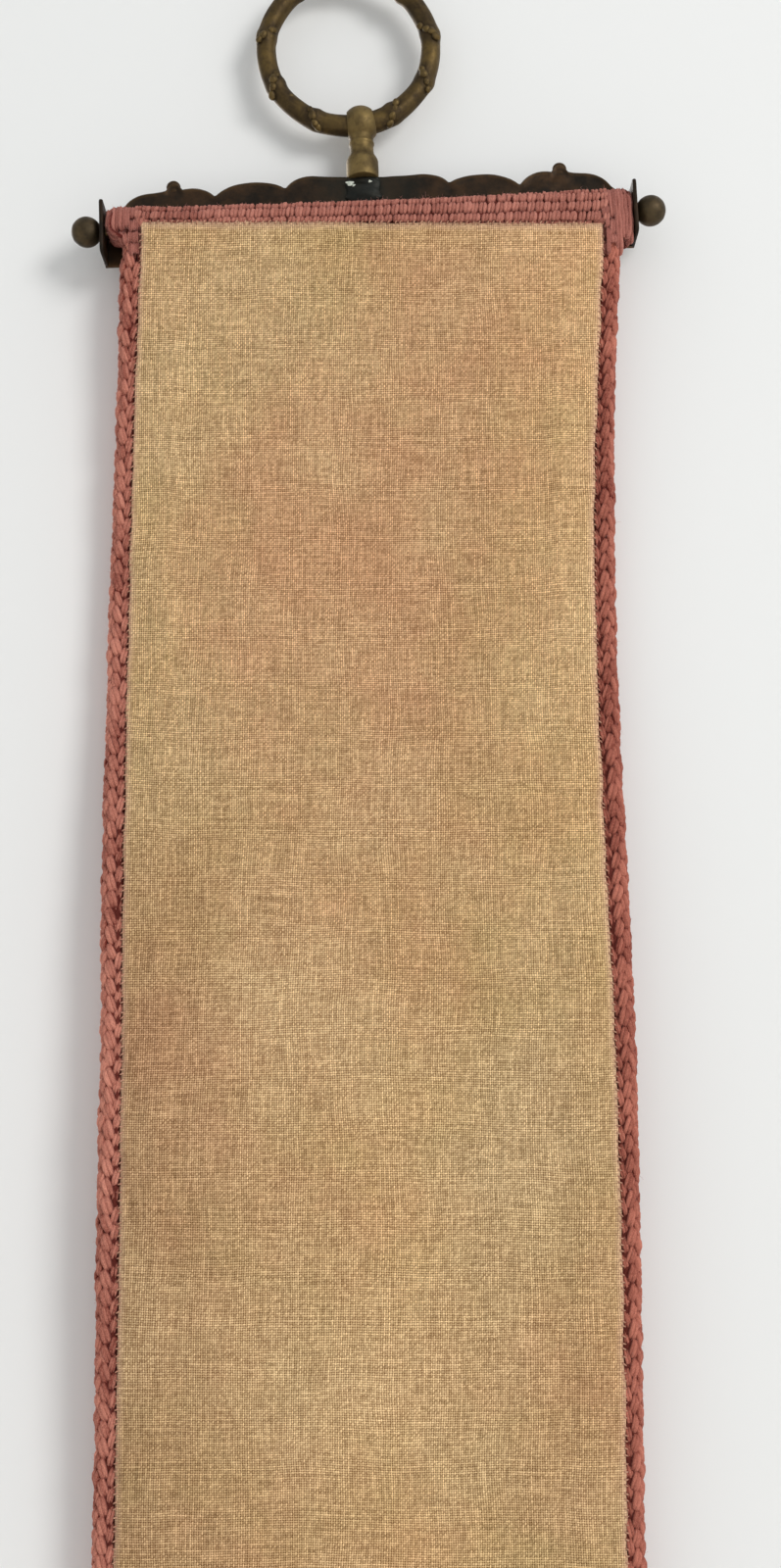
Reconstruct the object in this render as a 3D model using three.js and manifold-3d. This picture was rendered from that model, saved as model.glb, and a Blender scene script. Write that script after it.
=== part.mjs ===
// A needlepoint bell pull on its bronze hanger, with its lined back towards -Y.
// The worked canvas is one cloth: it folds over a rod at the top and turns in along both sides and the
// foot. A linen lining lies over the turned-in canvas. The rod runs through the two ears of a scalloped
// crest plate and ends in ball finials. A bored stud on the plate carries the branch-shaped hanging ring.
// Millimetres, +Z up. The origin is the inside top of the ring, where it bears on its nail.

import * as THREE from 'three';
import { mergeVertices } from 'three/addons/utils/BufferGeometryUtils.js';
import Module from 'manifold-3d';

const wasm = await Module();
wasm.setup();

const { degToRad, lerp, smoothstep } = THREE.MathUtils;
const TILT_AXIS = new THREE.Vector3(0, 1, 0);

// ---------------------------------------------------------------- driving dimensions

const GAP = 0.3; // between neighbouring pieces

// Ring: a cast branch bent round, with knots
const RING_RADIUS = 25.75; // of its centre line, half-way between knots
const RING_TUBE = 3.05;
const RING_EYE_TUBE = 3.4; // it thickens towards the stud's eye
const NAIL_BEARING = degToRad(5); // the nail bears this far clockwise from the ring's top
const RING_LEAN = degToRad(8.8); // the stud holds the ring this far anticlockwise from its lowest point
const CHORD_SAG = 0.5; // how far the knots stand outside that circle
const KNOT_SWELL = 0.45;
const KNOT_NUB = 0.6;
const KNOT_SPREAD = degToRad(4.6);

// Each knot: its bearing anticlockwise from +X as the lined back is seen, and where its nub points,
// anticlockwise round the branch from the ring's outside towards the viewer.
const KNOTS = [
  { bearing: 11, nub: 20 },
  { bearing: 48, nub: 150 },
  { bearing: 88, nub: 40 },
  { bearing: 128, nub: 120 },
  { bearing: 171, nub: 60 },
  { bearing: 209, nub: 110 },
  { bearing: 247, nub: 100 },
  { bearing: 302, nub: 90 },
  { bearing: 335, nub: 30 },
];

// Hanger: rod, ears, crest plate and stud, all level in the hanger's own frame
const HANGER_TILT = degToRad(2.34); // its left end hangs low
const ROD_RADIUS = 1.25;
const ROD_BEFORE_PLATE = 5.5; // from the rod's axis to the middle of the plate
const PLATE_THICKNESS = 1.2;
const PLATE_FOOT = -9; // the plate's lower edge, from the rod's axis
const EAR = { inner: 80.7, outer: 81.8, reach: 5.7, top: 8 };
const FINIAL = { radius: 4.65, centre: 86.5, boreEnd: 88 };
const BORE_CLEARANCE = GAP;

// Crest outline, each half from the middle outwards: a curve's end (x, z) and its control point.
// The casting is uneven, and its left end lobe lies lower.
const CREST_MIDDLE = 17.5;
const CREST_RIGHT = [
  { x: 17.0, z: 17.8, controlX: 8.5, controlZ: 17.4 },
  { x: 25.5, z: 14.8, controlX: 22.6, controlZ: 17.9 },
  { x: 36.0, z: 17.0, controlX: 29.6, controlZ: 17.0 },
  { x: 47.4, z: 13.2, controlX: 43.0, controlZ: 16.9 },
  { x: 57.9, z: 16.9, controlX: 51.6, controlZ: 18.4 },
  { x: 68.0, z: 16.1, controlX: 63.0, controlZ: 16.3 },
  { x: 75.5, z: 11.6, controlX: 73.4, controlZ: 15.4 },
  { x: 81.8, z: 8.0, controlX: 78.4, controlZ: 9.0 },
];
const CREST_LEFT = [
  { x: 17.0, z: 18.6, controlX: 8.5, controlZ: 17.8 },
  { x: 25.5, z: 14.9, controlX: 22.6, controlZ: 18.5 },
  { x: 36.0, z: 17.2, controlX: 29.6, controlZ: 17.3 },
  { x: 47.4, z: 13.2, controlX: 43.0, controlZ: 17.0 },
  { x: 57.9, z: 15.6, controlX: 51.6, controlZ: 17.0 },
  { x: 68.0, z: 14.8, controlX: 63.0, controlZ: 15.1 },
  { x: 75.5, z: 10.6, controlX: 73.4, controlZ: 14.2 },
  { x: 81.8, z: 8.0, controlX: 78.4, controlZ: 8.3 },
];
const CREST_KNOB = { x: 60, rise: 0.2, radius: 2.1, afterCurve: 4 };

// Stud: radius up its height, from the rod's axis
const STUD_SIDE = -1.25; // left of the hanger's middle
const EYE_HEIGHT = 35.2; // the middle of its ball and bore
const EYE_PLAY = 0.45; // between the bore and the ring
const STUD_PROFILE = [
  { radius: 5.0, height: 18.15 },
  { radius: 5.0, height: 22.4 },
  { radius: 4.55, height: 23.6 },
  { radius: 3.8, height: 24.9 },
  { radius: 3.65, height: 26.4 },
  { radius: 3.7, height: 27.7 },
  { radius: 4.0, height: 28.1 },
  { radius: 4.0, height: 28.7 },
  { radius: 3.7, height: 29.2 },
  { radius: 3.75, height: 30.4 },
];
const STUD_BALL_RADIUS = 5.6;
const STUD_BALL_START = degToRad(-46); // where the ball rises from the neck
const TONGUE = { halfWidth: 4.9, thickness: 2.0, foot: 9.2, top: 20 };

// Canvas work: thickness of the worked cloth and of its bare turnings
const WORK_FRONT = 2.6; // the worked face, from the cloth's mid-plane
const WORK_BACK = 0.2;
const BARE_FRONT = -0.1;
const BARE_BACK = -1.4;
const BURIED = 0.15; // how far a joined end lies inside the cloth it runs into
const ROLL_RADIUS = 3.0; // of the wool-wrapped edge
const ROLL_MIDDLE = -0.4;
const WOOL_FLANK = { inset: 0.5, depth: -2.6 }; // the wool's steep inner side, beside the lining
const WOOL_SHOULDER = { inset: 1.4, depth: -3.1 };
const SLIT_RADIUS = 0.15; // the cloth's two layers lie this close where it turns
const TURNING = 16; // width of the turned-in canvas
const FRONT_CROWN = 0.25;
const FOOT_LAP = 12; // how far the foot's piece reaches up behind the worked face
const PANEL_LENGTH = 900; // from the rod's axis to the foot

// The panel down its length. drop: below the rod's middle. left, right: the outermost wool.
// seamLeft, seamRight: how far inside them the lining is sewn. lie: how far it stands towards the wall.
const PANEL_ROWS = [
  { drop: 8, left: -75.3, right: 77.0, seamLeft: 5.9, seamRight: 5.2, lie: 0.0 },
  { drop: 20, left: -76.2, right: 76.5, seamLeft: 6.5, seamRight: 5.5, lie: 0.2 },
  { drop: 45, left: -76.2, right: 75.0, seamLeft: 5.7, seamRight: 5.4, lie: 1.4 },
  { drop: 80, left: -76.9, right: 74.4, seamLeft: 5.7, seamRight: 6.2, lie: 4.0 },
  { drop: 120, left: -77.5, right: 74.0, seamLeft: 6.2, seamRight: 6.3, lie: 5.0 },
  { drop: 160, left: -77.2, right: 74.3, seamLeft: 6.3, seamRight: 6.2, lie: 3.0 },
  { drop: 200, left: -76.9, right: 75.4, seamLeft: 6.5, seamRight: 6.6, lie: 0.0 },
  { drop: 250, left: -75.6, right: 76.2, seamLeft: 6.5, seamRight: 6.0, lie: -2.0 },
  { drop: 300, left: -75.4, right: 76.2, seamLeft: 6.8, seamRight: 5.5, lie: -3.0 },
  { drop: 350, left: -74.6, right: 76.0, seamLeft: 6.2, seamRight: 5.0, lie: -1.0 },
  { drop: 400, left: -74.8, right: 75.9, seamLeft: 6.4, seamRight: 5.0, lie: 1.0 },
  { drop: 500, left: -75.4, right: 75.6, seamLeft: 6.2, seamRight: 5.6, lie: 2.0 },
  { drop: 620, left: -75.9, right: 75.2, seamLeft: 6.0, seamRight: 6.0, lie: -1.0 },
  { drop: 760, left: -75.4, right: 75.9, seamLeft: 6.3, seamRight: 5.7, lie: -2.5 },
  { drop: 900, left: -75.7, right: 75.7, seamLeft: 6.0, seamRight: 6.0, lie: 0.0 },
];
const PANEL_STEPS = 36; // between its top rows and its foot rows
const TOP_DROPS = [4, 6, 8, 11, 14, 17, 21, 26]; // where fold, panel and lining are all shaped near the top

// Top fold along the rod. x: from the rod's middle. top: its height over the rod's axis. girth: scale of
// its outer shape, smaller where its ends round off. foot: how far below the rod's middle it runs. Where
// that is short of FOLD_TAIL, the wool itself comes round and stops there, clear of the lining.
const FOLD_TAIL = 20;
const FOLD_ROWS = [
  { x: -79.6, top: 5.6, girth: 0.74, foot: 7.6 },
  { x: -78.8, top: 6.9, girth: 0.93, foot: 8.6 },
  { x: -76.5, top: 7.6, girth: 1.03, foot: 9.4 },
  { x: -73.0, top: 7.5, girth: 1.04, foot: 9.5 },
  { x: -70.4, top: 7.2, girth: 1.0, foot: 9.5 },
  { x: -69.7, top: 7.1, girth: 1.0, foot: FOLD_TAIL },
  { x: -60.0, top: 6.8, girth: 1.0, foot: FOLD_TAIL },
  { x: -45.0, top: 6.5, girth: 1.0, foot: FOLD_TAIL },
  { x: -30.0, top: 6.3, girth: 1.0, foot: FOLD_TAIL },
  { x: -10.0, top: 6.4, girth: 1.0, foot: FOLD_TAIL },
  { x: 10.0, top: 6.4, girth: 1.0, foot: FOLD_TAIL },
  { x: 30.0, top: 6.6, girth: 1.0, foot: FOLD_TAIL },
  { x: 50.0, top: 6.9, girth: 1.0, foot: FOLD_TAIL },
  { x: 62.0, top: 7.1, girth: 1.0, foot: FOLD_TAIL },
  { x: 72.2, top: 7.1, girth: 1.0, foot: FOLD_TAIL },
  { x: 72.8, top: 7.2, girth: 1.0, foot: 9.5 },
  { x: 75.5, top: 7.6, girth: 1.05, foot: 9.5 },
  { x: 78.0, top: 7.4, girth: 1.03, foot: 9.0 },
  { x: 79.6, top: 6.5, girth: 0.9, foot: 7.6 },
  { x: 80.2, top: 5.6, girth: 0.74, foot: 6.4 },
];
const FOLD_HALF_HEIGHT = 5.2;
const FOLD_HALF_DEPTH = 4.55;
const FOLD_LIP = { height: 1.2, tuck: 0.9, reach: 2.5 }; // the rounded end of the wool at both corners
const FOLD_BARE_BACK = -3.2; // the bare canvas beside the rod, under the lining
const FACE_HEIGHTS = [-9.5, -5, -0.6]; // where the worked face is shaped below the rod
const CHANNEL_RADIUS = 1.7;
const CHANNEL_NARROWS = 1.3; // the rod's channel tapers below this, on both sides of the rod
const LAYERS_MEET = -4.4; // and there its two layers close on each other

// Lining
const LINING_THICKNESS = 1.0;
const LINING_CLEARANCE = 0.35; // between it and the turnings under it
const LINING_TOP = 2.3; // its top edge, below the rod's middle
const LINING_SHOULDER = 0.9; // it stays level this far past the end of a turning
const LINING_SLOPE = 6; // width over which it sinks from the turnings to the canvas
const LINING_COLUMNS = 7; // between its two sunk slopes
const PUCKER = 0.12;
const PUCKER_LENGTH = 31;

// ---------------------------------------------------------------- helpers

// Value of a column at a place between a table's rows, on a smooth curve through them.
function along(rows, key, column, place) {
  const last = rows.length - 1;
  const clamped = THREE.MathUtils.clamp(place, rows[0][key], rows[last][key]);
  let i = 0;
  while (i < last - 1 && clamped > rows[i + 1][key]) i += 1;
  const nearest = [Math.max(i - 1, 0), i, i + 1, Math.min(i + 2, last)];
  const [before, from, to, after] = nearest.map((n) => rows[n]);
  const span = to[key] - from[key];
  const slopeFrom = (to[column] - before[column]) / (to[key] - before[key]);
  const slopeTo = (after[column] - from[column]) / (after[key] - from[key]);
  const t = (clamped - from[key]) / span;
  const rise = from[column] * (2 * t ** 3 - 3 * t ** 2 + 1) + to[column] * (3 * t ** 2 - 2 * t ** 3);
  return rise + span * (slopeFrom * (t ** 3 - 2 * t ** 2 + t) + slopeTo * (t ** 3 - t ** 2));
}

function panelAt(drop) {
  const row = { drop };
  for (const column of ['left', 'right', 'seamLeft', 'seamRight', 'lie']) {
    row[column] = along(PANEL_ROWS, 'drop', column, drop);
  }
  return row;
}

function signedVolume(geometry) {
  const position = geometry.getAttribute('position');
  const corner = [new THREE.Vector3(), new THREE.Vector3(), new THREE.Vector3()];
  let volume = 0;
  for (let i = 0; i < geometry.index.count; i += 3) {
    corner.forEach((point, k) => point.fromBufferAttribute(position, geometry.index.getX(i + k)));
    volume += corner[0].dot(corner[1].cross(corner[2])) / 6;
  }
  return volume;
}

function closedGeometry(points, triangles) {
  const geometry = new THREE.BufferGeometry().setFromPoints(points);
  geometry.setIndex(triangles);
  if (signedVolume(geometry) < 0) {
    geometry.setIndex(triangles.map((_, i) => triangles[i - (i % 3) + [0, 2, 1][i % 3]]));
  }
  geometry.computeVertexNormals();
  return geometry;
}

// Closed sheet between two grids of points, outer[row][column] and inner[row][column].
function sheetSolid(outer, inner) {
  const rows = outer.length;
  const columns = outer[0].length;
  const rim = 2 * columns;
  const points = outer.flatMap((row, i) => [...row, ...[...inner[i]].reverse()]);
  const triangles = [];
  const quad = (a, b, c, d) => triangles.push(a, b, c, a, c, d);
  for (let row = 0; row < rows - 1; row += 1) {
    for (let i = 0; i < rim; i += 1) {
      const next = (i + 1) % rim;
      quad(row * rim + i, row * rim + next, (row + 1) * rim + next, (row + 1) * rim + i);
    }
  }
  const end = (rows - 1) * rim;
  for (let i = 0; i < columns - 1; i += 1) {
    const across = rim - 1 - i;
    quad(i, across, across - 1, i + 1);
    quad(end + i, end + i + 1, end + across - 1, end + across);
  }
  return closedGeometry(points, triangles);
}

function toSolid(geometry) {
  const bare = geometry.clone();
  bare.deleteAttribute('normal');
  bare.deleteAttribute('uv');
  const merged = mergeVertices(bare, 1e-4);
  return new wasm.Manifold(new wasm.Mesh({
    numProp: 3,
    vertProperties: merged.getAttribute('position').array,
    triVerts: new Uint32Array(merged.index.array),
  }));
}

function toGeometry(solid) {
  const mesh = solid.getMesh();
  const geometry = new THREE.BufferGeometry();
  geometry.setAttribute('position', new THREE.BufferAttribute(mesh.vertProperties, 3));
  geometry.setIndex(new THREE.BufferAttribute(mesh.triVerts, 1));
  geometry.computeVertexNormals();
  return geometry;
}

function join(...geometries) {
  return toGeometry(geometries.map(toSolid).reduce((whole, piece) => whole.add(piece)));
}

function cut(geometry, ...tools) {
  return toGeometry(tools.map(toSolid).reduce((whole, tool) => whole.subtract(tool), toSolid(geometry)));
}

function box(low, high) {
  const size = high.map((value, i) => value - low[i]);
  return new THREE.BoxGeometry(...size).translate(...high.map((value, i) => (value + low[i]) / 2));
}

function named(name, geometry, material) {
  const mesh = new THREE.Mesh(geometry, material);
  mesh.name = name;
  return mesh;
}

// ---------------------------------------------------------------- materials

const wool = new THREE.MeshStandardMaterial({ color: 0xa3665a, roughness: 0.95, metalness: 0 });
const linen = new THREE.MeshStandardMaterial({ color: 0xb99a70, roughness: 0.92, metalness: 0 });
const bronze = new THREE.MeshStandardMaterial({ color: 0x5f4d30, roughness: 0.5, metalness: 0.8 });
const darkBronze = new THREE.MeshStandardMaterial({ color: 0x3a2f23, roughness: 0.6, metalness: 0.7 });

// ---------------------------------------------------------------- ring

const ringInside = RING_RADIUS - RING_TUBE;
const ringCentre = new THREE.Vector3(-Math.sin(NAIL_BEARING), 0, -Math.cos(NAIL_BEARING))
  .multiplyScalar(ringInside);
const eyeCentre = new THREE.Vector3(Math.sin(RING_LEAN), 0, -Math.cos(RING_LEAN))
  .multiplyScalar(RING_RADIUS).add(ringCentre);

const eyeBearing = RING_LEAN - Math.PI / 2;

// Signed angle from one bearing to another, within half a turn.
function turnBetween(from, to) {
  return THREE.MathUtils.euclideanModulo(to - from + Math.PI, 2 * Math.PI) - Math.PI;
}

// How far a bearing lies inside the stretch between its two knots: 0 at a knot, 1 half-way.
function stretchMiddle(bearing) {
  const turns = KNOTS.map((knot) => turnBetween(degToRad(knot.bearing), bearing));
  const behind = Math.min(...turns.filter((turn) => turn >= 0));
  const ahead = Math.max(...turns.filter((turn) => turn < 0));
  return Math.sin((Math.PI * behind) / (behind - ahead));
}

function branchRing() {
  const geometry = new THREE.TorusGeometry(RING_RADIUS, RING_TUBE, 14, 108);
  const position = geometry.getAttribute('position');
  const point = new THREE.Vector3();
  for (let i = 0; i < position.count; i += 1) {
    point.fromBufferAttribute(position, i);
    const bearing = Math.atan2(point.y, point.x);
    const around = Math.atan2(point.z, Math.hypot(point.x, point.y) - RING_RADIUS);
    let swell = 0;
    for (const knot of KNOTS) {
      const closeness = Math.exp(-((turnBetween(degToRad(knot.bearing), bearing) / KNOT_SPREAD) ** 2));
      const facing = (1 + Math.cos(around - degToRad(knot.nub))) / 2;
      swell += closeness * (KNOT_SWELL + KNOT_NUB * facing ** 2);
    }
    const eyeCloseness = Math.max(Math.cos(bearing - eyeBearing), 0) ** 6;
    const tube = lerp(RING_TUBE, RING_EYE_TUBE, eyeCloseness) + swell;
    const circle = RING_RADIUS + CHORD_SAG * (1 - stretchMiddle(bearing)) + tube * Math.cos(around);
    position.setXYZ(i, circle * Math.cos(bearing), circle * Math.sin(bearing), tube * Math.sin(around));
  }
  return geometry.rotateX(Math.PI / 2);
}

// ---------------------------------------------------------------- hanger, in its own level frame

const eyeFromRod = new THREE.Vector3(STUD_SIDE, ROD_BEFORE_PLATE, EYE_HEIGHT);
const rodCentre = eyeCentre.clone().sub(eyeFromRod.clone().applyAxisAngle(TILT_AXIS, -HANGER_TILT));
const plateNear = ROD_BEFORE_PLATE - PLATE_THICKNESS / 2;
const plateFar = ROD_BEFORE_PLATE + PLATE_THICKNESS / 2;

function roundBar(radius, length, sides) {
  return new THREE.CylinderGeometry(radius, radius, length, sides).rotateZ(Math.PI / 2);
}

function crestHalf(curves) {
  const half = new THREE.Path();
  half.moveTo(0, CREST_MIDDLE);
  curves.forEach((curve, i) => {
    half.quadraticCurveTo(curve.controlX, curve.controlZ, curve.x, curve.z);
    if (i === CREST_KNOB.afterCurve) {
      half.absarc(CREST_KNOB.x, curve.z + CREST_KNOB.rise, CREST_KNOB.radius, Math.PI, 0, true);
    }
  });
  return half.getPoints(7);
}

function crestPoints() {
  const left = crestHalf(CREST_LEFT).slice(1).map((point) => new THREE.Vector2(-point.x, point.y));
  return [...left.reverse(), ...crestHalf(CREST_RIGHT)];
}

function crestPlate() {
  const outline = [
    new THREE.Vector2(EAR.outer, PLATE_FOOT),
    ...crestPoints().reverse(),
    new THREE.Vector2(-EAR.outer, PLATE_FOOT),
  ];
  const plate = new THREE.ExtrudeGeometry(new THREE.Shape(outline), {
    depth: PLATE_THICKNESS,
    bevelEnabled: false,
  }).rotateX(Math.PI / 2).translate(0, plateFar, 0);
  const ears = [-1, 1].map((side) => {
    const [low, high] = side < 0 ? [-EAR.outer, -EAR.inner] : [EAR.inner, EAR.outer];
    return box([low, -EAR.reach, PLATE_FOOT], [high, plateFar - BURIED, EAR.top]);
  });
  return cut(join(plate, ...ears), roundBar(ROD_RADIUS + BORE_CLEARANCE, 2 * FINIAL.centre, 20));
}

function finial() {
  const bore = ROD_RADIUS + BORE_CLEARANCE;
  const mouth = Math.asin(bore / FINIAL.radius);
  const floor = FINIAL.boreEnd - FINIAL.centre;
  const profile = [new THREE.Vector2(0, floor), new THREE.Vector2(bore, floor)];
  const steps = 12;
  for (let i = 0; i <= steps; i += 1) {
    const angle = lerp(mouth, Math.PI, i / steps);
    profile.push(new THREE.Vector2(FINIAL.radius * Math.sin(angle), -FINIAL.radius * Math.cos(angle)));
  }
  profile[profile.length - 1].x = 0;
  return new THREE.LatheGeometry(profile, 20).rotateZ(-Math.PI / 2);
}

function ringStud() {
  const profile = [new THREE.Vector2(0, STUD_PROFILE[0].height)];
  STUD_PROFILE.forEach((row) => profile.push(new THREE.Vector2(row.radius, row.height)));
  const steps = 10;
  for (let i = 0; i <= steps; i += 1) {
    const angle = lerp(STUD_BALL_START, Math.PI / 2, i / steps);
    const radius = i === steps ? 0 : STUD_BALL_RADIUS * Math.cos(angle);
    profile.push(new THREE.Vector2(radius, EYE_HEIGHT + STUD_BALL_RADIUS * Math.sin(angle)));
  }
  const turned = new THREE.LatheGeometry(profile, 24)
    .rotateX(Math.PI / 2)
    .translate(STUD_SIDE, ROD_BEFORE_PLATE, 0);
  const tongueFar = plateNear - GAP;
  const tongue = box(
    [STUD_SIDE - TONGUE.halfWidth, tongueFar - TONGUE.thickness, TONGUE.foot],
    [STUD_SIDE + TONGUE.halfWidth, tongueFar, TONGUE.top],
  );
  const ringFromRod = ringCentre.clone().sub(rodCentre).applyAxisAngle(TILT_AXIS, HANGER_TILT);
  const ringSpace = new THREE.TorusGeometry(RING_RADIUS, RING_EYE_TUBE + EYE_PLAY, 20, 120)
    .rotateX(Math.PI / 2)
    .translate(...ringFromRod.toArray());
  return cut(join(turned, tongue), ringSpace);
}

// ---------------------------------------------------------------- canvas work, from the rod's middle

// Half of a turned-in edge, from the end of the turning round the wool roll to the worked face.
// A point is [inset inwards from the outermost wool, depth towards the wall]; outer and inner are its two
// skins. The bare canvas can be slimmed on both sides, to lie inside another turning.
function turnedEdge(seam, slimmed = 0) {
  const back = BARE_BACK + slimmed;
  const front = BARE_FRONT - slimmed;
  const flank = seam - WOOL_FLANK.inset;
  const pairs = [
    { outer: [TURNING, back], inner: [TURNING, front] },
    { outer: [seam, back], inner: [seam, front] },
    { outer: [flank, WOOL_FLANK.depth], inner: [flank, front] },
    { outer: [seam - WOOL_SHOULDER.inset, WOOL_SHOULDER.depth], inner: [ROLL_RADIUS + 0.9, front] },
  ];
  const slitMiddle = (WORK_BACK + BARE_FRONT) / 2;
  for (const degrees of [-90, -45, 0, 45, 90]) {
    const angle = degToRad(degrees);
    pairs.push({
      outer: [ROLL_RADIUS * (1 - Math.cos(angle)), ROLL_MIDDLE + ROLL_RADIUS * Math.sin(angle)],
      inner: [ROLL_RADIUS + 0.4 - SLIT_RADIUS * Math.cos(angle), slitMiddle + SLIT_RADIUS * Math.sin(angle)],
    });
  }
  return pairs;
}

const footStart = PANEL_LENGTH - TURNING;
const sinkStart = footStart - LINING_SLOPE;

// Every drop at which panel and lining are shaped, so that both bend alike.
function clothDrops() {
  const first = TOP_DROPS.at(-1);
  const shares = Array.from({ length: PANEL_STEPS }, (_, i) => (i + 1) / PANEL_STEPS);
  const steps = shares.map((share) => lerp(first, sinkStart, share));
  return [...TOP_DROPS, ...steps, footStart - LINING_SHOULDER];
}

// The panel below the fold: the worked face with both sides turned in.
function panelBody() {
  const outer = [];
  const inner = [];
  const drops = clothDrops().filter((drop) => drop >= PANEL_ROWS[0].drop);
  for (const drop of [...drops, PANEL_LENGTH - ROLL_RADIUS]) {
    const row = panelAt(drop);
    const place = (x, depth) => new THREE.Vector3(x, row.lie + depth, -row.drop);
    const left = turnedEdge(row.seamLeft);
    const right = turnedEdge(row.seamRight).reverse();
    const face = [0.25, 0.5, 0.75].map((share) => ({
      x: lerp(row.left, row.right, share),
      crown: FRONT_CROWN * Math.sin(Math.PI * share),
    }));
    const skin = (side, faceDepth) => [
      ...left.map((pair) => place(row.left + pair[side][0], pair[side][1])),
      ...face.map((point) => place(point.x, faceDepth + point.crown)),
      ...right.map((pair) => place(row.right - pair[side][0], pair[side][1])),
    ];
    outer.push(skin('outer', WORK_FRONT));
    inner.push(skin('inner', WORK_BACK));
  }
  return sheetSolid(outer, inner);
}

// The foot: the cloth turned up, its roll rounded off at both corners.
function panelFoot() {
  const row = panelAt(PANEL_LENGTH);
  const width = row.right - row.left;
  const stations = [
    { inset: 0.1, girth: 0.55 },
    { inset: 1.0, girth: 0.86 },
    { inset: ROLL_RADIUS, girth: 1 },
    { inset: width / 2, girth: 1 },
    { inset: width - ROLL_RADIUS, girth: 1 },
    { inset: width - 1.0, girth: 0.86 },
    { inset: width - 0.1, girth: 0.55 },
  ];
  const edge = turnedEdge(row.seamLeft, BURIED / 2);
  edge.push({ outer: [FOOT_LAP, WORK_FRONT - BURIED], inner: [FOOT_LAP, WORK_BACK + BURIED] });
  const skin = (side, station) => edge.map((pair) => {
    const [rise, depth] = pair[side];
    const height = ROLL_RADIUS + (rise - ROLL_RADIUS) * station.girth;
    const across = ROLL_MIDDLE + (depth - ROLL_MIDDLE) * station.girth;
    return new THREE.Vector3(row.left + station.inset, row.lie + across, height - PANEL_LENGTH);
  });
  return sheetSolid(
    stations.map((station) => skin('outer', station)),
    stations.map((station) => skin('inner', station)),
  );
}

// Bare canvas behind the rod, by height over the rod's axis: it closes on the worked cloth below.
function bareBackAt(height) {
  return lerp(FOLD_BARE_BACK, BARE_BACK + BURIED, smoothstep(-height, 1, 14));
}

const TAIL_STEP = 0.8; // between the fold's lowest points where it ends short

// The fold over the rod, in the hanger's frame. Skins run from the worked face below the rod, over the
// rod, to the end of the turning on the lined side.
function foldSkins(row) {
  const level = (drop) => -(drop + row.x * Math.sin(HANGER_TILT)) / Math.cos(HANGER_TILT);
  const isWool = row.foot < FOLD_TAIL;
  const tail = level(row.foot);
  const seam = isWool ? tail + FOLD_LIP.height : level(LINING_TOP);
  const depth = FOLD_HALF_DEPTH * row.girth;
  const faceDepth = Math.min(depth, FOLD_HALF_DEPTH);
  const middle = row.top - FOLD_HALF_HEIGHT * row.girth;
  const faceAt = (height) => lerp(faceDepth, WORK_FRONT - BURIED, smoothstep(-height, 0, 10));
  const lipAt = (height) => -depth + FOLD_LIP.tuck * smoothstep(-height, -tail - FOLD_LIP.reach, -tail);
  const aboveTail = (height, step) => Math.max(height, tail + step * TAIL_STEP);
  const outer = [tail, ...FACE_HEIGHTS.map((height, i) => aboveTail(height, i + 1))]
    .map((height) => [faceAt(height), height]);
  for (const degrees of [0, 30, 60, 90, 120, 150, 180]) {
    const angle = degToRad(degrees);
    const reach = degrees < 90 ? faceDepth : depth;
    outer.push([reach * Math.cos(angle), middle + FOLD_HALF_HEIGHT * row.girth * Math.sin(angle)]);
  }
  outer.push([-depth, seam + 1.1], [-depth + 0.4, seam + 0.6]);
  const drops = TOP_DROPS.filter((drop) => drop < FOLD_TAIL);
  const lipHeights = drops.map((_, i) => lerp(seam, tail, (i + 1) / (drops.length + 1)));
  for (const height of [seam + GAP, ...(isWool ? lipHeights : drops.map(level)), tail]) {
    outer.push([isWool ? lipAt(height) : bareBackAt(height), height]);
  }
  const face = WORK_BACK + BURIED;
  const bare = BARE_FRONT - BURIED;
  const meet = aboveTail(LAYERS_MEET, 2);
  const inner = [
    [face, tail],
    [face, aboveTail(2 * LAYERS_MEET, 1)],
    [face + BURIED, meet],
    [CHANNEL_NARROWS, -CHANNEL_NARROWS],
  ];
  for (const degrees of [-22, 15, 52, 90, 128, 165, 202]) {
    const angle = degToRad(degrees);
    inner.push([CHANNEL_RADIUS * Math.cos(angle), CHANNEL_RADIUS * Math.sin(angle)]);
  }
  inner.push([-CHANNEL_NARROWS, -CHANNEL_NARROWS], [bare - 3 * BURIED, (meet - CHANNEL_NARROWS) / 2]);
  inner.push([bare - BURIED, meet]);
  const bareSteps = outer.length - inner.length;
  for (let i = 1; i <= bareSteps; i += 1) inner.push([bare, lerp(meet, tail, i / bareSteps)]);
  const plumb = (z) => Math.min(z, 0) * Math.tan(HANGER_TILT); // below the rod the cloth hangs upright
  const place = ([y, z]) => new THREE.Vector3(row.x + plumb(z), y, z);
  return { outer: outer.map(place), inner: inner.map(place) };
}

function topFold() {
  const skins = FOLD_ROWS.map(foldSkins);
  return sheetSolid(skins.map((skin) => skin.outer), skins.map((skin) => skin.inner))
    .rotateY(-HANGER_TILT);
}

// ---------------------------------------------------------------- lining, from the rod's middle

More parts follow.
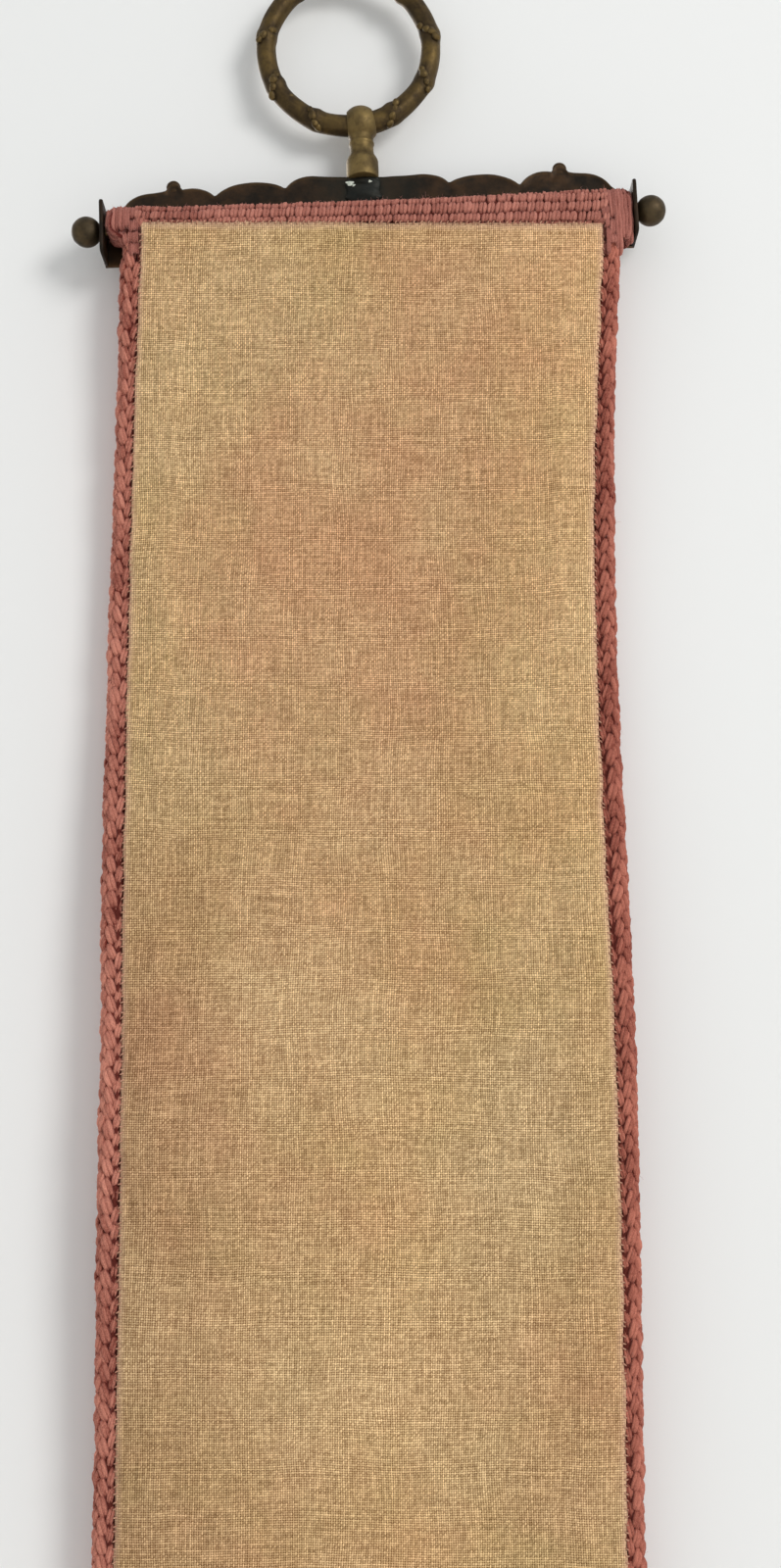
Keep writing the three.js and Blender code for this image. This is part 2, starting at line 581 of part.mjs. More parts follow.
// Where the lining's under face lies: on the turnings at its edges, sunk on to the worked cloth between.
function liningDepth(row, x, drop) {
  const rodLevel = x * Math.tan(HANGER_TILT);
  const overFold = bareBackAt(-drop - rodLevel);
  const [foldEnd, sunk] = TOP_DROPS.slice(-2);
  const overFoldShare = 1 - smoothstep(drop, foldEnd, sunk);
  const overFootShare = smoothstep(drop, sinkStart, footStart - LINING_SHOULDER);
  const fromEdge = Math.min(x - row.left, row.right - x);
  const overSideShare = 1 - smoothstep(fromEdge, TURNING + LINING_SHOULDER, TURNING + LINING_SLOPE);
  const turnings = Math.min(BARE_BACK, lerp(BARE_BACK, overFold, overFoldShare));
  const share = Math.max(overFoldShare, overFootShare, overSideShare);
  const pucker = PUCKER * (1 - share) * Math.sin((x + drop / 5) * (2 * Math.PI / PUCKER_LENGTH));
  return row.lie + lerp(BARE_FRONT + PUCKER, turnings, share) - LINING_CLEARANCE + pucker;
}

function lining() {
  const last = PANEL_LENGTH - panelAt(PANEL_LENGTH).seamLeft - GAP;
  const under = [];
  const over = [];
  for (const drop of [LINING_TOP, ...clothDrops(), last]) {
    const row = panelAt(drop);
    const shoulder = [TURNING * 0.7, TURNING + LINING_SHOULDER, TURNING + LINING_SLOPE];
    const columns = [row.left + row.seamLeft + GAP, ...shoulder.map((inset) => row.left + inset)];
    const from = columns.at(-1);
    const to = row.right - shoulder.at(-1);
    for (let i = 1; i < LINING_COLUMNS; i += 1) columns.push(lerp(from, to, i / LINING_COLUMNS));
    columns.push(...shoulder.reverse().map((inset) => row.right - inset), row.right - row.seamRight - GAP);
    under.push(columns.map((x) => new THREE.Vector3(x, liningDepth(row, x, drop), -drop)));
    over.push(under.at(-1).map((point) => new THREE.Vector3(point.x, point.y - LINING_THICKNESS, point.z)));
  }
  return sheetSolid(under, over);
}

// ---------------------------------------------------------------- the whole

const hanger = new THREE.Group();
hanger.position.copy(rodCentre);
hanger.rotation.y = -HANGER_TILT;
hanger.add(named('crest_plate', crestPlate(), darkBronze));
hanger.add(named('rod', roundBar(ROD_RADIUS, 2 * (FINIAL.boreEnd - GAP), 16), bronze));
hanger.add(named('ring_stud', ringStud(), bronze));

const finialLeft = named('finial_left', finial(), bronze);
finialLeft.rotation.y = Math.PI;
finialLeft.position.x = -FINIAL.centre;
const finialRight = named('finial_right', finial(), bronze);
finialRight.position.x = FINIAL.centre;
hanger.add(finialLeft, finialRight);

const ring = named('ring', branchRing(), bronze);
ring.position.copy(ringCentre);

const cloth = new THREE.Group();
cloth.position.copy(rodCentre);
cloth.add(named('needlepoint_panel', join(topFold(), panelBody(), panelFoot()), wool));
cloth.add(named('lining', lining(), linen));

const bellPull = new THREE.Group();
bellPull.add(ring, hanger, cloth);

export default bellPull;
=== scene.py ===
"""Looks of a needlepoint bell pull on its rod hanger, seen from its lined back.

Metres, +Z up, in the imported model's frame. The lined back faces -Y. Places are worked out from the CAD
solids: rays and cuts find their surfaces, and yarn, cloth and metal are laid on them.
"""
import math

import bmesh
import bpy
import numpy as np
from mathutils import Matrix, Vector
from mathutils.bvhtree import BVHTree


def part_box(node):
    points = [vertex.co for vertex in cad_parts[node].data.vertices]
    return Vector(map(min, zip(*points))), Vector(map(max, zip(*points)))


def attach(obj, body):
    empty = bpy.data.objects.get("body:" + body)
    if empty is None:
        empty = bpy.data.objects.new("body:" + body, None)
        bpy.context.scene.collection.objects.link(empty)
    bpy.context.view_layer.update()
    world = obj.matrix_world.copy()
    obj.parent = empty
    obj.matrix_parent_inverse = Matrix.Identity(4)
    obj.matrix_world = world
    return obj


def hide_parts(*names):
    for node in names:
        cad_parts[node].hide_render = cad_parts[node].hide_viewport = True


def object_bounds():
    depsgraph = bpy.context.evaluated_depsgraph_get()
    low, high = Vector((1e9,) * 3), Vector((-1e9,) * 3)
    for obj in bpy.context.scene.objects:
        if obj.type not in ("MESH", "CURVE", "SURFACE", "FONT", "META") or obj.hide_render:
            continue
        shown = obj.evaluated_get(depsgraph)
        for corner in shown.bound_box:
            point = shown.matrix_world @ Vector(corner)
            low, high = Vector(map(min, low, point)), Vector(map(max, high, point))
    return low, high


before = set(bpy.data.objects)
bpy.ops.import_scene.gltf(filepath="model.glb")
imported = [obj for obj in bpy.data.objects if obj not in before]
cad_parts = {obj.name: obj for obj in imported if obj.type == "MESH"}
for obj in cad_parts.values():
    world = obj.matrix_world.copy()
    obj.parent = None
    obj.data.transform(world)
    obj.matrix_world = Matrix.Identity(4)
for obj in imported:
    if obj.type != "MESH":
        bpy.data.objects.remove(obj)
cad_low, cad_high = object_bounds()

MM = 0.001

# ---- sizes, in metres ----

# The wrapped edges, as in the solids
ROLL_RADIUS = 3.0 * MM
ROLL_MIDDLE = -0.4 * MM

# Hanger, as in the solids
TILT = math.radians(2.34)
NAIL_BEARING = math.radians(5)
RING_INSIDE = 22.7 * MM
RING_RADIUS = 25.75 * MM
STUD_SIDE = -1.25 * MM
STUD_DEPTH = 5.5 * MM
STUD_BALL = 5.75 * MM
EYE_HEIGHT = 35.2 * MM
BORE_RADIUS = 3.95 * MM
FINIAL_RADIUS = 4.65 * MM
FINIAL_CENTRE = 86.5 * MM

# Yarn, thread and weave
STITCH = 2.5 * MM  # the canvas's pitch
BAND_ROW = 3.6 * MM
BAND_STITCH = 2.45 * MM
BAND_LINE = 0.15 * MM  # height over the rod's axis of one of the lines between rows
BAND_DRIFT = -0.022  # how the lines run down against the rod, for each unit to the right
PLAIT_PITCH = 5.0 * MM
PLAIT_TOP = {-1: 11.0 * MM, 1: 9.5 * MM}  # where the side plaits begin, below the rod's middle
WEAVE_PITCH = 0.645 * MM
WEAVE_SWAY = 3.4 * MM  # how far its threads wander
HEM_PITCH = 5.2 * MM
HEM_STITCH = 2.0 * MM

# How far the canvas lies inside the wool's surface: in general, at the edges and under the worked face
CANVAS_INSET = 0.45 * MM
EDGE_INSET = 1.9 * MM
FACE_INSET = 1.1 * MM

# ---- the solids as guides ----


def tree_of(node):
    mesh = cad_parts[node].data
    return BVHTree.FromPolygons([v.co for v in mesh.vertices], [p.vertices for p in mesh.polygons])


def hits(tree, starts, directions):
    """First places where rays meet a solid; a ray that misses gives nan."""
    found = np.full(starts.shape, np.nan)
    for i, (start, direction) in enumerate(zip(starts, np.broadcast_to(directions, starts.shape))):
        place = tree.ray_cast(Vector(start), Vector(direction))[0]
        if place is not None:
            found[i] = place
    return found


def smoothed(values, width):
    """Moving average along the first axis, with the ends held."""
    pad = width // 2
    padded = np.concatenate([values[:1].repeat(pad, 0), values, values[-1:].repeat(pad, 0)])
    kernel = np.hanning(2 * pad + 3)[1:-1]
    kernel /= kernel.sum()
    return np.apply_along_axis(lambda column: np.convolve(column, kernel, "valid"), 0, padded)


def filled(table):
    """A table with its gaps taken from the nearest known rows above and below."""
    for column in table.T:
        known = ~np.isnan(column)
        column[~known] = np.interp(np.flatnonzero(~known), np.flatnonzero(known), column[known])
    return table


def unit(vectors):
    return vectors / np.linalg.norm(vectors, axis=-1, keepdims=True)


def xyz(x, y, z):
    """Vectors from their three parts, each a number or a table."""
    return np.stack(np.broadcast_arrays(x, y, z), -1)


def bell(away, width, power=2):
    """A bump of height 1 that fades out over a width."""
    return np.exp(-((away / width) ** power))


def run_along(points):
    """How far along its path each point lies."""
    steps = np.linalg.norm(np.diff(points, axis=-2), axis=-1)
    return np.cumsum(np.insert(steps, 0, 0, axis=-1), axis=-1)


panel_tree = tree_of("needlepoint_panel")
lining_tree = tree_of("lining")
panel_low, panel_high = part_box("needlepoint_panel")
lining_low, lining_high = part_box("lining")
rod_low, rod_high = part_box("rod")
rod_centre = np.array((rod_low + rod_high) / 2)
hanger = Matrix.Translation(rod_centre) @ Matrix.Rotation(-TILT, 4, "Y")
ROD_X = np.array(hanger.to_3x3() @ Vector((1, 0, 0)))
ROD_Z = np.array(hanger.to_3x3() @ Vector((0, 0, 1)))
TO_VIEWER = np.array([0.0, -1.0, 0.0])
HANGER_AXES = np.array([ROD_X, -TO_VIEWER, ROD_Z])
FAR = 60 * MM


def to_world(local):
    """Points from places in mm from the rod's middle: along it, away from the viewer, and up."""
    return rod_centre + local @ HANGER_AXES * MM


def to_hanger(points):
    """Where points lie on the same three axes, in mm."""
    return (points - rod_centre) @ HANGER_AXES.T / MM


def vectors_of(items, key):
    """A vector of each of a mesh's vertices, as rows."""
    values = np.empty(3 * len(items))
    items.foreach_get(key, values)
    return values.reshape(-1, 3)


def sections(node, level, across, places):
    """Where cuts at these places on one axis reach lowest and highest on another."""
    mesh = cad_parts[node].data
    ends = np.empty(2 * len(mesh.edges), np.int32)
    mesh.edges.foreach_get("vertices", ends)
    ends = vectors_of(mesh.vertices, "co")[ends.reshape(-1, 2)]
    lowest, highest = [], []
    for place in places:
        crossing = ends[(ends[:, 0, level] > place) != (ends[:, 1, level] > place)]
        first, last = crossing[:, 0], crossing[:, 1]
        share = (place - first[:, level]) / (last[:, level] - first[:, level])
        met = first + share[:, None] * (last - first)
        lowest.append(met[met[:, across].argmin()])
        highest.append(met[met[:, across].argmax()])
    return np.array(lowest), np.array(highest)


def side_tables():
    """The panel's edges, lie and hem by height."""
    z = np.arange(rod_centre[2] - 9.7 * MM, lining_low.z + 0.5 * MM, -2.5 * MM)
    left, right = sections("needlepoint_panel", 2, 0, z)
    hem_left, hem_right = sections("lining", 2, 0, z)
    tables = {"left": left, "right": right, "hem_left": hem_left, "hem_right": hem_right}
    tables = {name: table[:, 0] for name, table in tables.items()}
    tables["lie"] = (left[:, 1] + right[:, 1]) / 2 - ROLL_MIDDLE
    return {"z": z[::-1], **{name: smoothed(table, 9)[::-1] for name, table in tables.items()}}


SIDES = side_tables()


def at(name, z):
    """A column of the side tables at any height."""
    return np.interp(z, SIDES["z"], SIDES[name])


def lining_depth(x, z):
    """How deep the lining's near side lies at places, its gaps filled along the first axis."""
    starts = xyz(x, -FAR, z).reshape(-1, 3)
    return filled(hits(lining_tree, starts, -TO_VIEWER)[:, 1].reshape(len(x), -1))


# ---- meshes ----


def added(name, data):
    """An object of these data, in the scene."""
    obj = bpy.data.objects.new(name, data)
    bpy.context.scene.collection.objects.link(obj)
    return obj


def riding(name, mesh, material):
    """A mesh as a piece that rides on the body."""
    mesh.materials.append(material)
    obj = added(name, mesh)
    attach(obj, "root")
    return obj


def make_piece(name, points, polygons, material, attributes):
    """A smooth piece. polygons is a list of arrays, one row of corners a face."""
    mesh = bpy.data.meshes.new(name)
    faces = [face for array in polygons for face in array.tolist()]
    mesh.from_pydata(points.reshape(-1, 3).tolist(), [], faces)
    mesh.validate()
    mesh.shade_smooth()
    for key, values in attributes.items():
        kind, field = ("FLOAT", "value") if values.ndim == 1 else ("FLOAT_VECTOR", "vector")
        mesh.attributes.new(key, kind, "POINT").data.foreach_set(field, values.ravel())
    return riding(name, mesh, material)


def grid_faces(rows, columns, round_rows=False):
    """The faces of a grid of points whose last column joins its first, and its rows too if asked."""
    index = np.arange(rows * columns).reshape(rows, columns)
    index = np.pad(index, ((0, int(round_rows)), (0, 1)), "wrap")
    return np.stack([index[:-1, :-1], index[1:, :-1], index[1:, 1:], index[:-1, 1:]], -1).reshape(-1, 4)


def capped_tube(name, points, material):
    """Rings of points joined into a tube and closed at both ends, with its sharp edges kept."""
    rows, columns = points.shape[:2]
    start = np.arange(columns)[None]
    faces = [grid_faces(rows, columns), start[:, ::-1], start + (rows - 1) * columns]
    piece = make_piece(name, points, faces, material, {})
    piece.data.set_sharp_from_angle(angle=math.radians(50))
    return piece


class Yarns:
    """Many strands of yarn gathered into one mesh."""

    def __init__(self, seed):
        self.random = np.random.default_rng(seed)
        self.points, self.quads, self.caps = [], [], []
        self.looks = {"strand": [], "tone": [], "crown": []}
        self.count = 0

    def add(self, paths, normals, half_widths, half_heights, sides=6):
        """paths and normals are (strands, rings, 3); the half sizes are (strands, rings)."""
        along = unit(np.gradient(paths, axis=1))
        across = unit(np.cross(normals, along))
        outward = np.cross(along, across)
        turns = 2 * math.pi * np.arange(1, sides + 1) / sides - math.pi / 2
        cos, sin = np.cos(turns), np.sin(turns)
        ring = (
            paths[:, :, None]
            + across[:, :, None] * half_widths[..., None, None] * cos[:, None]
            + outward[:, :, None] * half_heights[..., None, None] * sin[:, None]
        )
        shape = ring.shape[:3]
        index = self.count + np.arange(math.prod(shape)).reshape(shape)
        following = np.roll(index, -1, axis=2)
        quads = np.stack([index[:, :-1], following[:, :-1], following[:, 1:], index[:, 1:]], -1)
        self.quads.append(quads.reshape(-1, 4))
        self.caps += [index[:, 0, ::-1], index[:, -1]]
        self.points.append(ring.reshape(-1, 3))
        self.count += index.size
        self.look(paths, half_heights, cos, sin, shape)

    def look(self, paths, half_heights, cos, sin, shape):
        """What the wool's material reads: place on the strand, its tone, and how far out it stands, which the
        material turns into painted shade.
        """
        strand = xyz(run_along(paths)[..., None] / MM, cos, sin)
        tone = np.broadcast_to(self.random.random(shape[0])[:, None, None], shape)
        least, most = half_heights.min(1, keepdims=True), half_heights.max(1, keepdims=True)
        full = np.where(most > 1.01 * least, (half_heights - least) / (most - least + 1e-12), 1.0)
        # painted shade: lowest at a stitch's ends and on a strand's underside, where the wool is painted
        # darker
        crown = (0.25 + 0.75 * full)[..., None] * (0.5 + 0.5 * sin)
        self.looks["strand"].append(strand.reshape(-1, 3))
        self.looks["tone"].append(tone.ravel())
        self.looks["crown"].append(crown.ravel())

    def piece(self, name, material, slot="wool"):
        looks = {key: np.concatenate(values) for key, values in self.looks.items()}
        return make_piece(name, np.concatenate(self.points), self.quads + self.caps, material, looks)


def plump(t, ends):
    """Size along a stitch: full in its middle, drawn in at both ends."""
    return ends + (1 - ends) * np.sin(np.pi * np.clip(t, 0, 1)) ** 0.6


# ---- materials ----


class Graph:
    """A material's nodes, written as calls. Each call gives the new node's output."""

    def __init__(self, name):
        self.material = bpy.data.materials.new(name)
        self.material.use_nodes = True
        self.tree = self.material.node_tree
        self.shader = self.tree.nodes["Principled BSDF"]

    def put(self, socket, value):
        if isinstance(value, bpy.types.NodeSocket):
            self.tree.links.new(value, socket)
        else:
            socket.default_value = value

    def node(self, kind, inputs=(), **settings):
        """A new node's outputs. inputs holds a constant or another output for each socket."""
        node = self.tree.nodes.new("ShaderNode" + kind)
        for key, value in settings.items():
            setattr(node, key, value)
        for key, value in dict(inputs).items():
            self.put(node.inputs[key], value)
        return node.outputs

    def math(self, operation, a, b=0.0, c=0.0):
        return self.node("Math", {0: a, 1: b, 2: c}, operation=operation)[0]

    def plus(self, total, *others):
        for other in others:
            total = self.math("ADD", total, other)
        return total

    def times(self, a, b):
        return self.math("MULTIPLY", a, b)

    def vector(self, operation, a, b):
        return self.node("VectorMath", {0: a, 1: b}, operation=operation)[0]

    def place(self):
        return self.node("TexCoord")["Object"]

    def joined(self, x, y, z):
        return self.node("CombineXYZ", {0: x, 1: y, 2: z})[0]

    def attribute(self, name, output="Fac"):
        return self.node("Attribute", attribute_name=name)[output]

    def noise(self, vector, scale, detail=2.0, roughness=0.5):
        inputs = {"Vector": vector, "Scale": scale, "Detail": detail, "Roughness": roughness}
        return self.node("TexNoise", inputs)[0]

    def ramp(self, value, low, high, to_low=0.0, to_high=1.0):
        inputs = {0: value, 1: low, 2: high, 3: to_low, 4: to_high}
        return self.node("MapRange", inputs, clamp=True)[0]

    def spread(self, noise, to_low, to_high):
        """The middle of a noise's range, where nearly all of it lies, stretched to these limits."""
        return self.ramp(noise, 0.3, 0.7, to_low, to_high)

    def mix(self, share, a, b, blend="MIX"):
        return self.node("Mix", {0: share, 6: a, 7: b}, data_type="RGBA", blend_type=blend)[2]

    def bump(self, height, distance, strength):
        return self.node("Bump", {"Height": height, "Distance": distance, "Strength": strength})[0]

    def cells(self, across, upright, shift):
        """A number for each cell of the weave, the cells moved by a share of its pitch."""
        column = self.math("FLOOR", self.math("MULTIPLY_ADD", across, 1 / WEAVE_PITCH, shift))
        row = self.math("FLOOR", self.math("MULTIPLY_ADD", upright, 1 / WEAVE_PITCH, shift))
        place = self.joined(column, row, 0.0)
        return self.node("TexWhiteNoise", {"Vector": place}, noise_dimensions="2D")[0]

    def finish(self, **inputs):
        for key, value in inputs.items():
            self.put(self.shader.inputs[key.replace("_", " ")], value)
        return self.material


def rgb(*shown):
    """A colour given in display values from 0 to 255, as the linear colour a shader wants."""
    shares = [value / 255 for value in shown]
    return (*[v / 12.92 if v <= 0.04045 else ((v + 0.055) / 1.055) ** 2.4 for v in shares], 1.0)


def wool_material(name, dark, light, painted_shade=0.0):
    """Wool: fine fibres along each ply, painted darker at each strand's sides and ends as painted shade and a
    little lighter on its top as painted light, with a soft bloom.
    """
    g = Graph(name)
    tone = g.attribute("tone")
    shift = g.joined(g.times(tone, 61.0), g.times(tone, 37.0), 0.0)
    strand = g.vector("MULTIPLY", g.attribute("strand", "Vector"), (1.5, 3.2, 3.2))
    fibres = g.noise(g.vector("ADD", strand, shift), 1.0, 3.0, 0.6)
    fuzz = g.noise(g.place(), 3200.0, 2.0, 0.75)
    cloud = g.noise(g.place(), 38.0, 3.0)
    # painted shade and painted light: darker down a strand's sides and ends, a little lighter on its top, by
    # the given strength
    crown = g.ramp(g.attribute("crown"), 0.12, 0.82, -painted_shade, 0.25 * painted_shade)
    share = g.plus(
        g.spread(fibres, 0.06, 0.42), g.spread(fuzz, -0.12, 0.34), g.ramp(tone, 0.0, 1.0, -0.1, 0.26),
        g.spread(cloud, -0.14, 0.2), crown,
    )
    share = g.math("MAXIMUM", g.math("MINIMUM", share, 1.0), 0.0)
    return g.finish(
        Base_Color=g.mix(share, rgb(*dark), rgb(*light)), Roughness=0.95, Specular_IOR_Level=0.12,
        Sheen_Weight=0.22, Sheen_Roughness=0.5, Sheen_Tint=rgb(222, 164, 156),
        Normal=g.bump(g.plus(g.times(fibres, 0.7), fuzz), 0.25 * MM, 0.8),
    )


def linen_weave(g, x, z):
    """Plain weave: the height of its threads, each warp's and weft's own slubs, and its bent grid."""
    place = g.place()
    sway = g.noise(place, 26.0)
    bow = g.noise(g.vector("ADD", place, (5.0, 5.0, 5.0)), 20.0)
    across = g.plus(x, g.times(g.math("SUBTRACT", sway, 0.5), WEAVE_SWAY))
    upright = g.plus(z, g.times(g.math("SUBTRACT", bow, 0.5), WEAVE_SWAY))
    fine, long = 1450.0, 70.0  # a slub is thin across its thread and long along it
    warp_slub = g.noise(g.joined(g.times(across, fine), 0.0, g.times(upright, long)), 1.0)
    weft_slub = g.noise(g.joined(g.times(across, long), 7.0, g.times(upright, fine)), 1.0)
    sin_u = g.math("SINE", g.times(across, math.pi / WEAVE_PITCH))
    sin_v = g.math("SINE", g.times(upright, math.pi / WEAVE_PITCH))
    over = g.ramp(g.times(sin_u, sin_v), -0.5, 0.5)
    warp = g.times(g.math("ABSOLUTE", sin_u), g.ramp(over, 0.0, 1.0, 0.5, 1.0))
    weft = g.times(g.math("ABSOLUTE", sin_v), g.ramp(over, 0.0, 1.0, 1.0, 0.5))
    warp = g.times(warp, g.spread(warp_slub, 0.72, 1.12))
    weft = g.times(weft, g.spread(weft_slub, 0.66, 1.06))
    return g.math("MAXIMUM", warp, weft), warp_slub, weft_slub, across, upright


def lining_patches(g, x, z, blotch):
    """How much darker the lining is low on its left, and how much lighter low in its middle and higher up
    along its right edge.
    """
    x = g.plus(x, g.spread(blotch, -9 * MM, 9 * MM))
    darker_low_left = g.times(g.ramp(x, -62 * MM, -28 * MM, -0.2, 0.0), g.ramp(z, -0.33, -0.22, 1.0, 0.0))
    from_middle = g.math("ABSOLUTE", g.math("SUBTRACT", x, 13 * MM))
    middle = g.times(g.ramp(from_middle, 4 * MM, 30 * MM, 0.1, 0.0), g.ramp(z, -0.38, -0.26, 1.0, 0.0))
    edge = g.times(g.ramp(x, 36 * MM, 60 * MM, 0.0, 0.13), g.ramp(z, -0.34, -0.26, 0.0, 1.0))
    return g.plus(darker_low_left, g.plus(middle, edge))


def rusty_middle(g, x, z):
    """The warmer stain over the middle of the lining's upper half."""
    upright = g.times(g.ramp(z, -0.36, -0.25, 0.0, 1.0), g.ramp(z, -0.18, -0.12, 1.0, 0.0))
    across = g.ramp(g.math("ABSOLUTE", g.plus(x, 8 * MM)), 18 * MM, 52 * MM, 0.14, -0.04)
    return g.times(upright, across)


def linen_material():
    """Linen: pale uneven threads over pinholes painted dark as painted shade, with slubs, stains, darker and
    lighter patches, and a painted highlight along the hem.
    """
    g = Graph("linen")
    place = g.place()
    x, _, z = g.node("SeparateXYZ", {0: place})
    height, warp_slub, weft_slub, across, upright = linen_weave(g, x, z)
    blotch = g.noise(place, 13.0, 4.0, 0.6)
    warmth = g.noise(g.vector("ADD", place, (3.0, 1.0, 2.0)), 9.0, 5.0, 0.7)
    warmth = g.ramp(g.plus(warmth, rusty_middle(g, x, z)), 0.36, 0.64)
    speck = g.noise(place, 1300.0, 2.0, 0.8)
    pale = g.mix(warmth, rgb(250, 213, 152), rgb(254, 202, 154))
    pale = g.mix(g.ramp(blotch, 0.38, 0.66), pale, rgb(255, 220, 168))
    # painted shade: this dark colour fills the pinholes between the threads
    dark = g.mix(warmth, rgb(100, 68, 20), rgb(114, 69, 24))
    # some pinholes are nearly closed, and every crossing catches the light a little differently
    hole = g.ramp(g.cells(across, upright, 0.5), 0.3, 1.0, 0.0, 0.3)
    crossing = g.ramp(g.cells(across, upright, 0.0), 0.0, 1.0, 0.68, 1.2)
    share = g.math("MAXIMUM", g.ramp(height, 0.3, 1.0), hole)
    share = g.times(g.times(share, g.ramp(speck, 0.3, 0.72, 0.74, 1.16)), crossing)
    colour = g.mix(g.math("MINIMUM", share, 1.0), dark, pale)
    # painted highlight: paler along the rolled hem, where the fold catches the light
    colour = g.mix(g.times(g.attribute("edge"), 0.5), colour, rgb(226, 184, 156))
    streak = g.plus(g.spread(warp_slub, -0.085, 0.08), g.spread(weft_slub, -0.07, 0.065))
    shade = g.plus(g.spread(blotch, 0.94, 1.05), streak, lining_patches(g, x, z, blotch))
    colour = g.mix(1.0, colour, g.joined(shade, shade, shade), "MULTIPLY")
    return g.finish(
        Base_Color=colour, Roughness=0.9, Sheen_Weight=0.06, Sheen_Roughness=0.5, Specular_IOR_Level=0.2,
        Normal=g.bump(g.plus(height, g.times(speck, 0.25)), 0.14 * MM, 0.9),
    )


def metal_material(name, base, worn, patina, roughness, metallic, stain=None):
    """Old bronze: olive brown, paler where it is rubbed, dark in its recesses and round a stain's middle, and
    darker by a piece's grime attribute: grime, and painted shade round the ring's buds.
    """
    g = Graph(name)
    base, worn, patina = rgb(*base), rgb(*worn), rgb(*patina)
    place = g.place()
    cloud = g.noise(place, 130.0, 4.0, 0.6)
    grain = g.noise(place, 1500.0, 3.0, 0.6)
    pits = g.noise(place, 420.0, 3.0, 0.65)
    edges = g.node("NewGeometry")["Pointiness"]
    grime = g.times(g.attribute("grime"), g.ramp(grain, 0.25, 0.6, 0.3, 0.8))
    colour = g.mix(g.ramp(cloud, 0.35, 0.65), patina, base)
    colour = g.mix(g.ramp(edges, 0.505, 0.60, 0.0, 0.75), colour, worn)
    colour = g.mix(g.ramp(pits, 0.52, 0.74, 0.0, 0.65), colour, patina)
    colour = g.mix(g.ramp(edges, 0.40, 0.49, 0.85, 0.0), colour, patina)
    # the grime attribute is grime, and on the ring also painted shade round its buds
    colour = g.mix(grime, colour, patina)
    if stain is not None:
        away = g.node("VectorMath", {0: place, 1: stain}, operation="DISTANCE")["Value"]
        away = g.plus(away, g.times(cloud, 9 * MM))
        colour = g.mix(g.ramp(away, 11 * MM, 24 * MM, 0.9, 0.0), colour, rgb(28, 30, 24))
    rough = g.plus(g.spread(cloud, roughness + 0.12, roughness - 0.04), g.spread(grain, -0.06, 0.1))
    normal = g.bump(g.plus(g.times(grain, 0.35), g.times(pits, 0.8)), 0.14 * MM, 0.6)
    return g.finish(Base_Color=colour, Roughness=rough, Metallic=metallic, Normal=normal)


def paint_material():
    """Old wall paint: chalky, with fine grime."""
    g = Graph("old_paint")
    grime = g.noise(g.place(), 900.0, 3.0, 0.6)
    colour = g.mix(g.ramp(grime, 0.35, 0.65), rgb(176, 182, 168), rgb(214, 216, 202))
    return g.finish(Base_Color=colour, Roughness=0.7, Normal=g.bump(grime, 0.1 * MM, 0.5))


WOOL = wool_material("wool", (102, 31, 22), (215, 143, 122), 0.66)
# Copies of the same wool, painted darker as painted shade on the right plait, the fold's corners and the
# fold, with some fading too
SHADED_FADED_RIGHT_WOOL = wool_material("wool_on_right_shaded_faded", (94, 26, 19), (198, 122, 102), 0.66)
SHADED_FADED_CORNER_WOOL = wool_material("wool_at_corners_shaded_faded", (84, 27, 22), (184, 119, 105), 0.66)
FACE_WOOL = wool_material("wool_on_face", (106, 33, 24), (224, 150, 130), 0.22)
SHADED_FADED_FOLD_WOOL = wool_material("wool_on_fold_shaded_faded", (99, 38, 29), (198, 131, 114), 0.62)
CANVAS = wool_material("canvas_in_shadow", (84, 32, 26), (128, 62, 52))
FUZZ = wool_material("wool_fuzz", (176, 104, 96), (232, 178, 168))
THREAD = wool_material("sewing_thread", (168, 114, 92), (228, 180, 150))
LINEN = linen_material()
PAINT = paint_material()
BRONZE = metal_material("bronze", (98, 78, 39), (130, 108, 66), (54, 41, 23), 0.5, 0.74)
SOLDER = metal_material("soldered_bronze", (36, 34, 27), (54, 49, 38), (22, 25, 21), 0.5, 0.65)
FINIAL_BRONZE = metal_material("dark_olive_bronze", (88, 72, 48), (128, 106, 72), (44, 36, 24), 0.46, 0.75)
# painted light: a lighter copy of the bronze, standing for the light on the stud
LIT_STUD_BRONZE = metal_material("bronze_lit_on_stud", (124, 103, 60), (142, 120, 74), (70, 55, 30), 0.5, 0.72)
STUD_FOOT = tuple(rod_centre + (ROD_X * STUD_SIDE + ROD_Z * 13 * MM))
PLATE = metal_material("dark_bronze", (62, 43, 25), (100, 74, 42), (30, 23, 15), 0.5, 0.75, STUD_FOOT)


# ---- canvas ----


def drawn_in(points):
    """The wool at the fold's left end, drawn up and in towards its foot, as in the photo."""
    local = to_hanger(points)
    share = np.clip((-1 - local[..., 2]) / 9, 0, 1) * np.clip((-72.6 - local[..., 0]) / 4.5, 0, 1)
    share = share * (local[..., 2] > -13)
    local[..., 0] += 2.4 * share
    local[..., 2] += 3.6 * share
    return to_world(local)


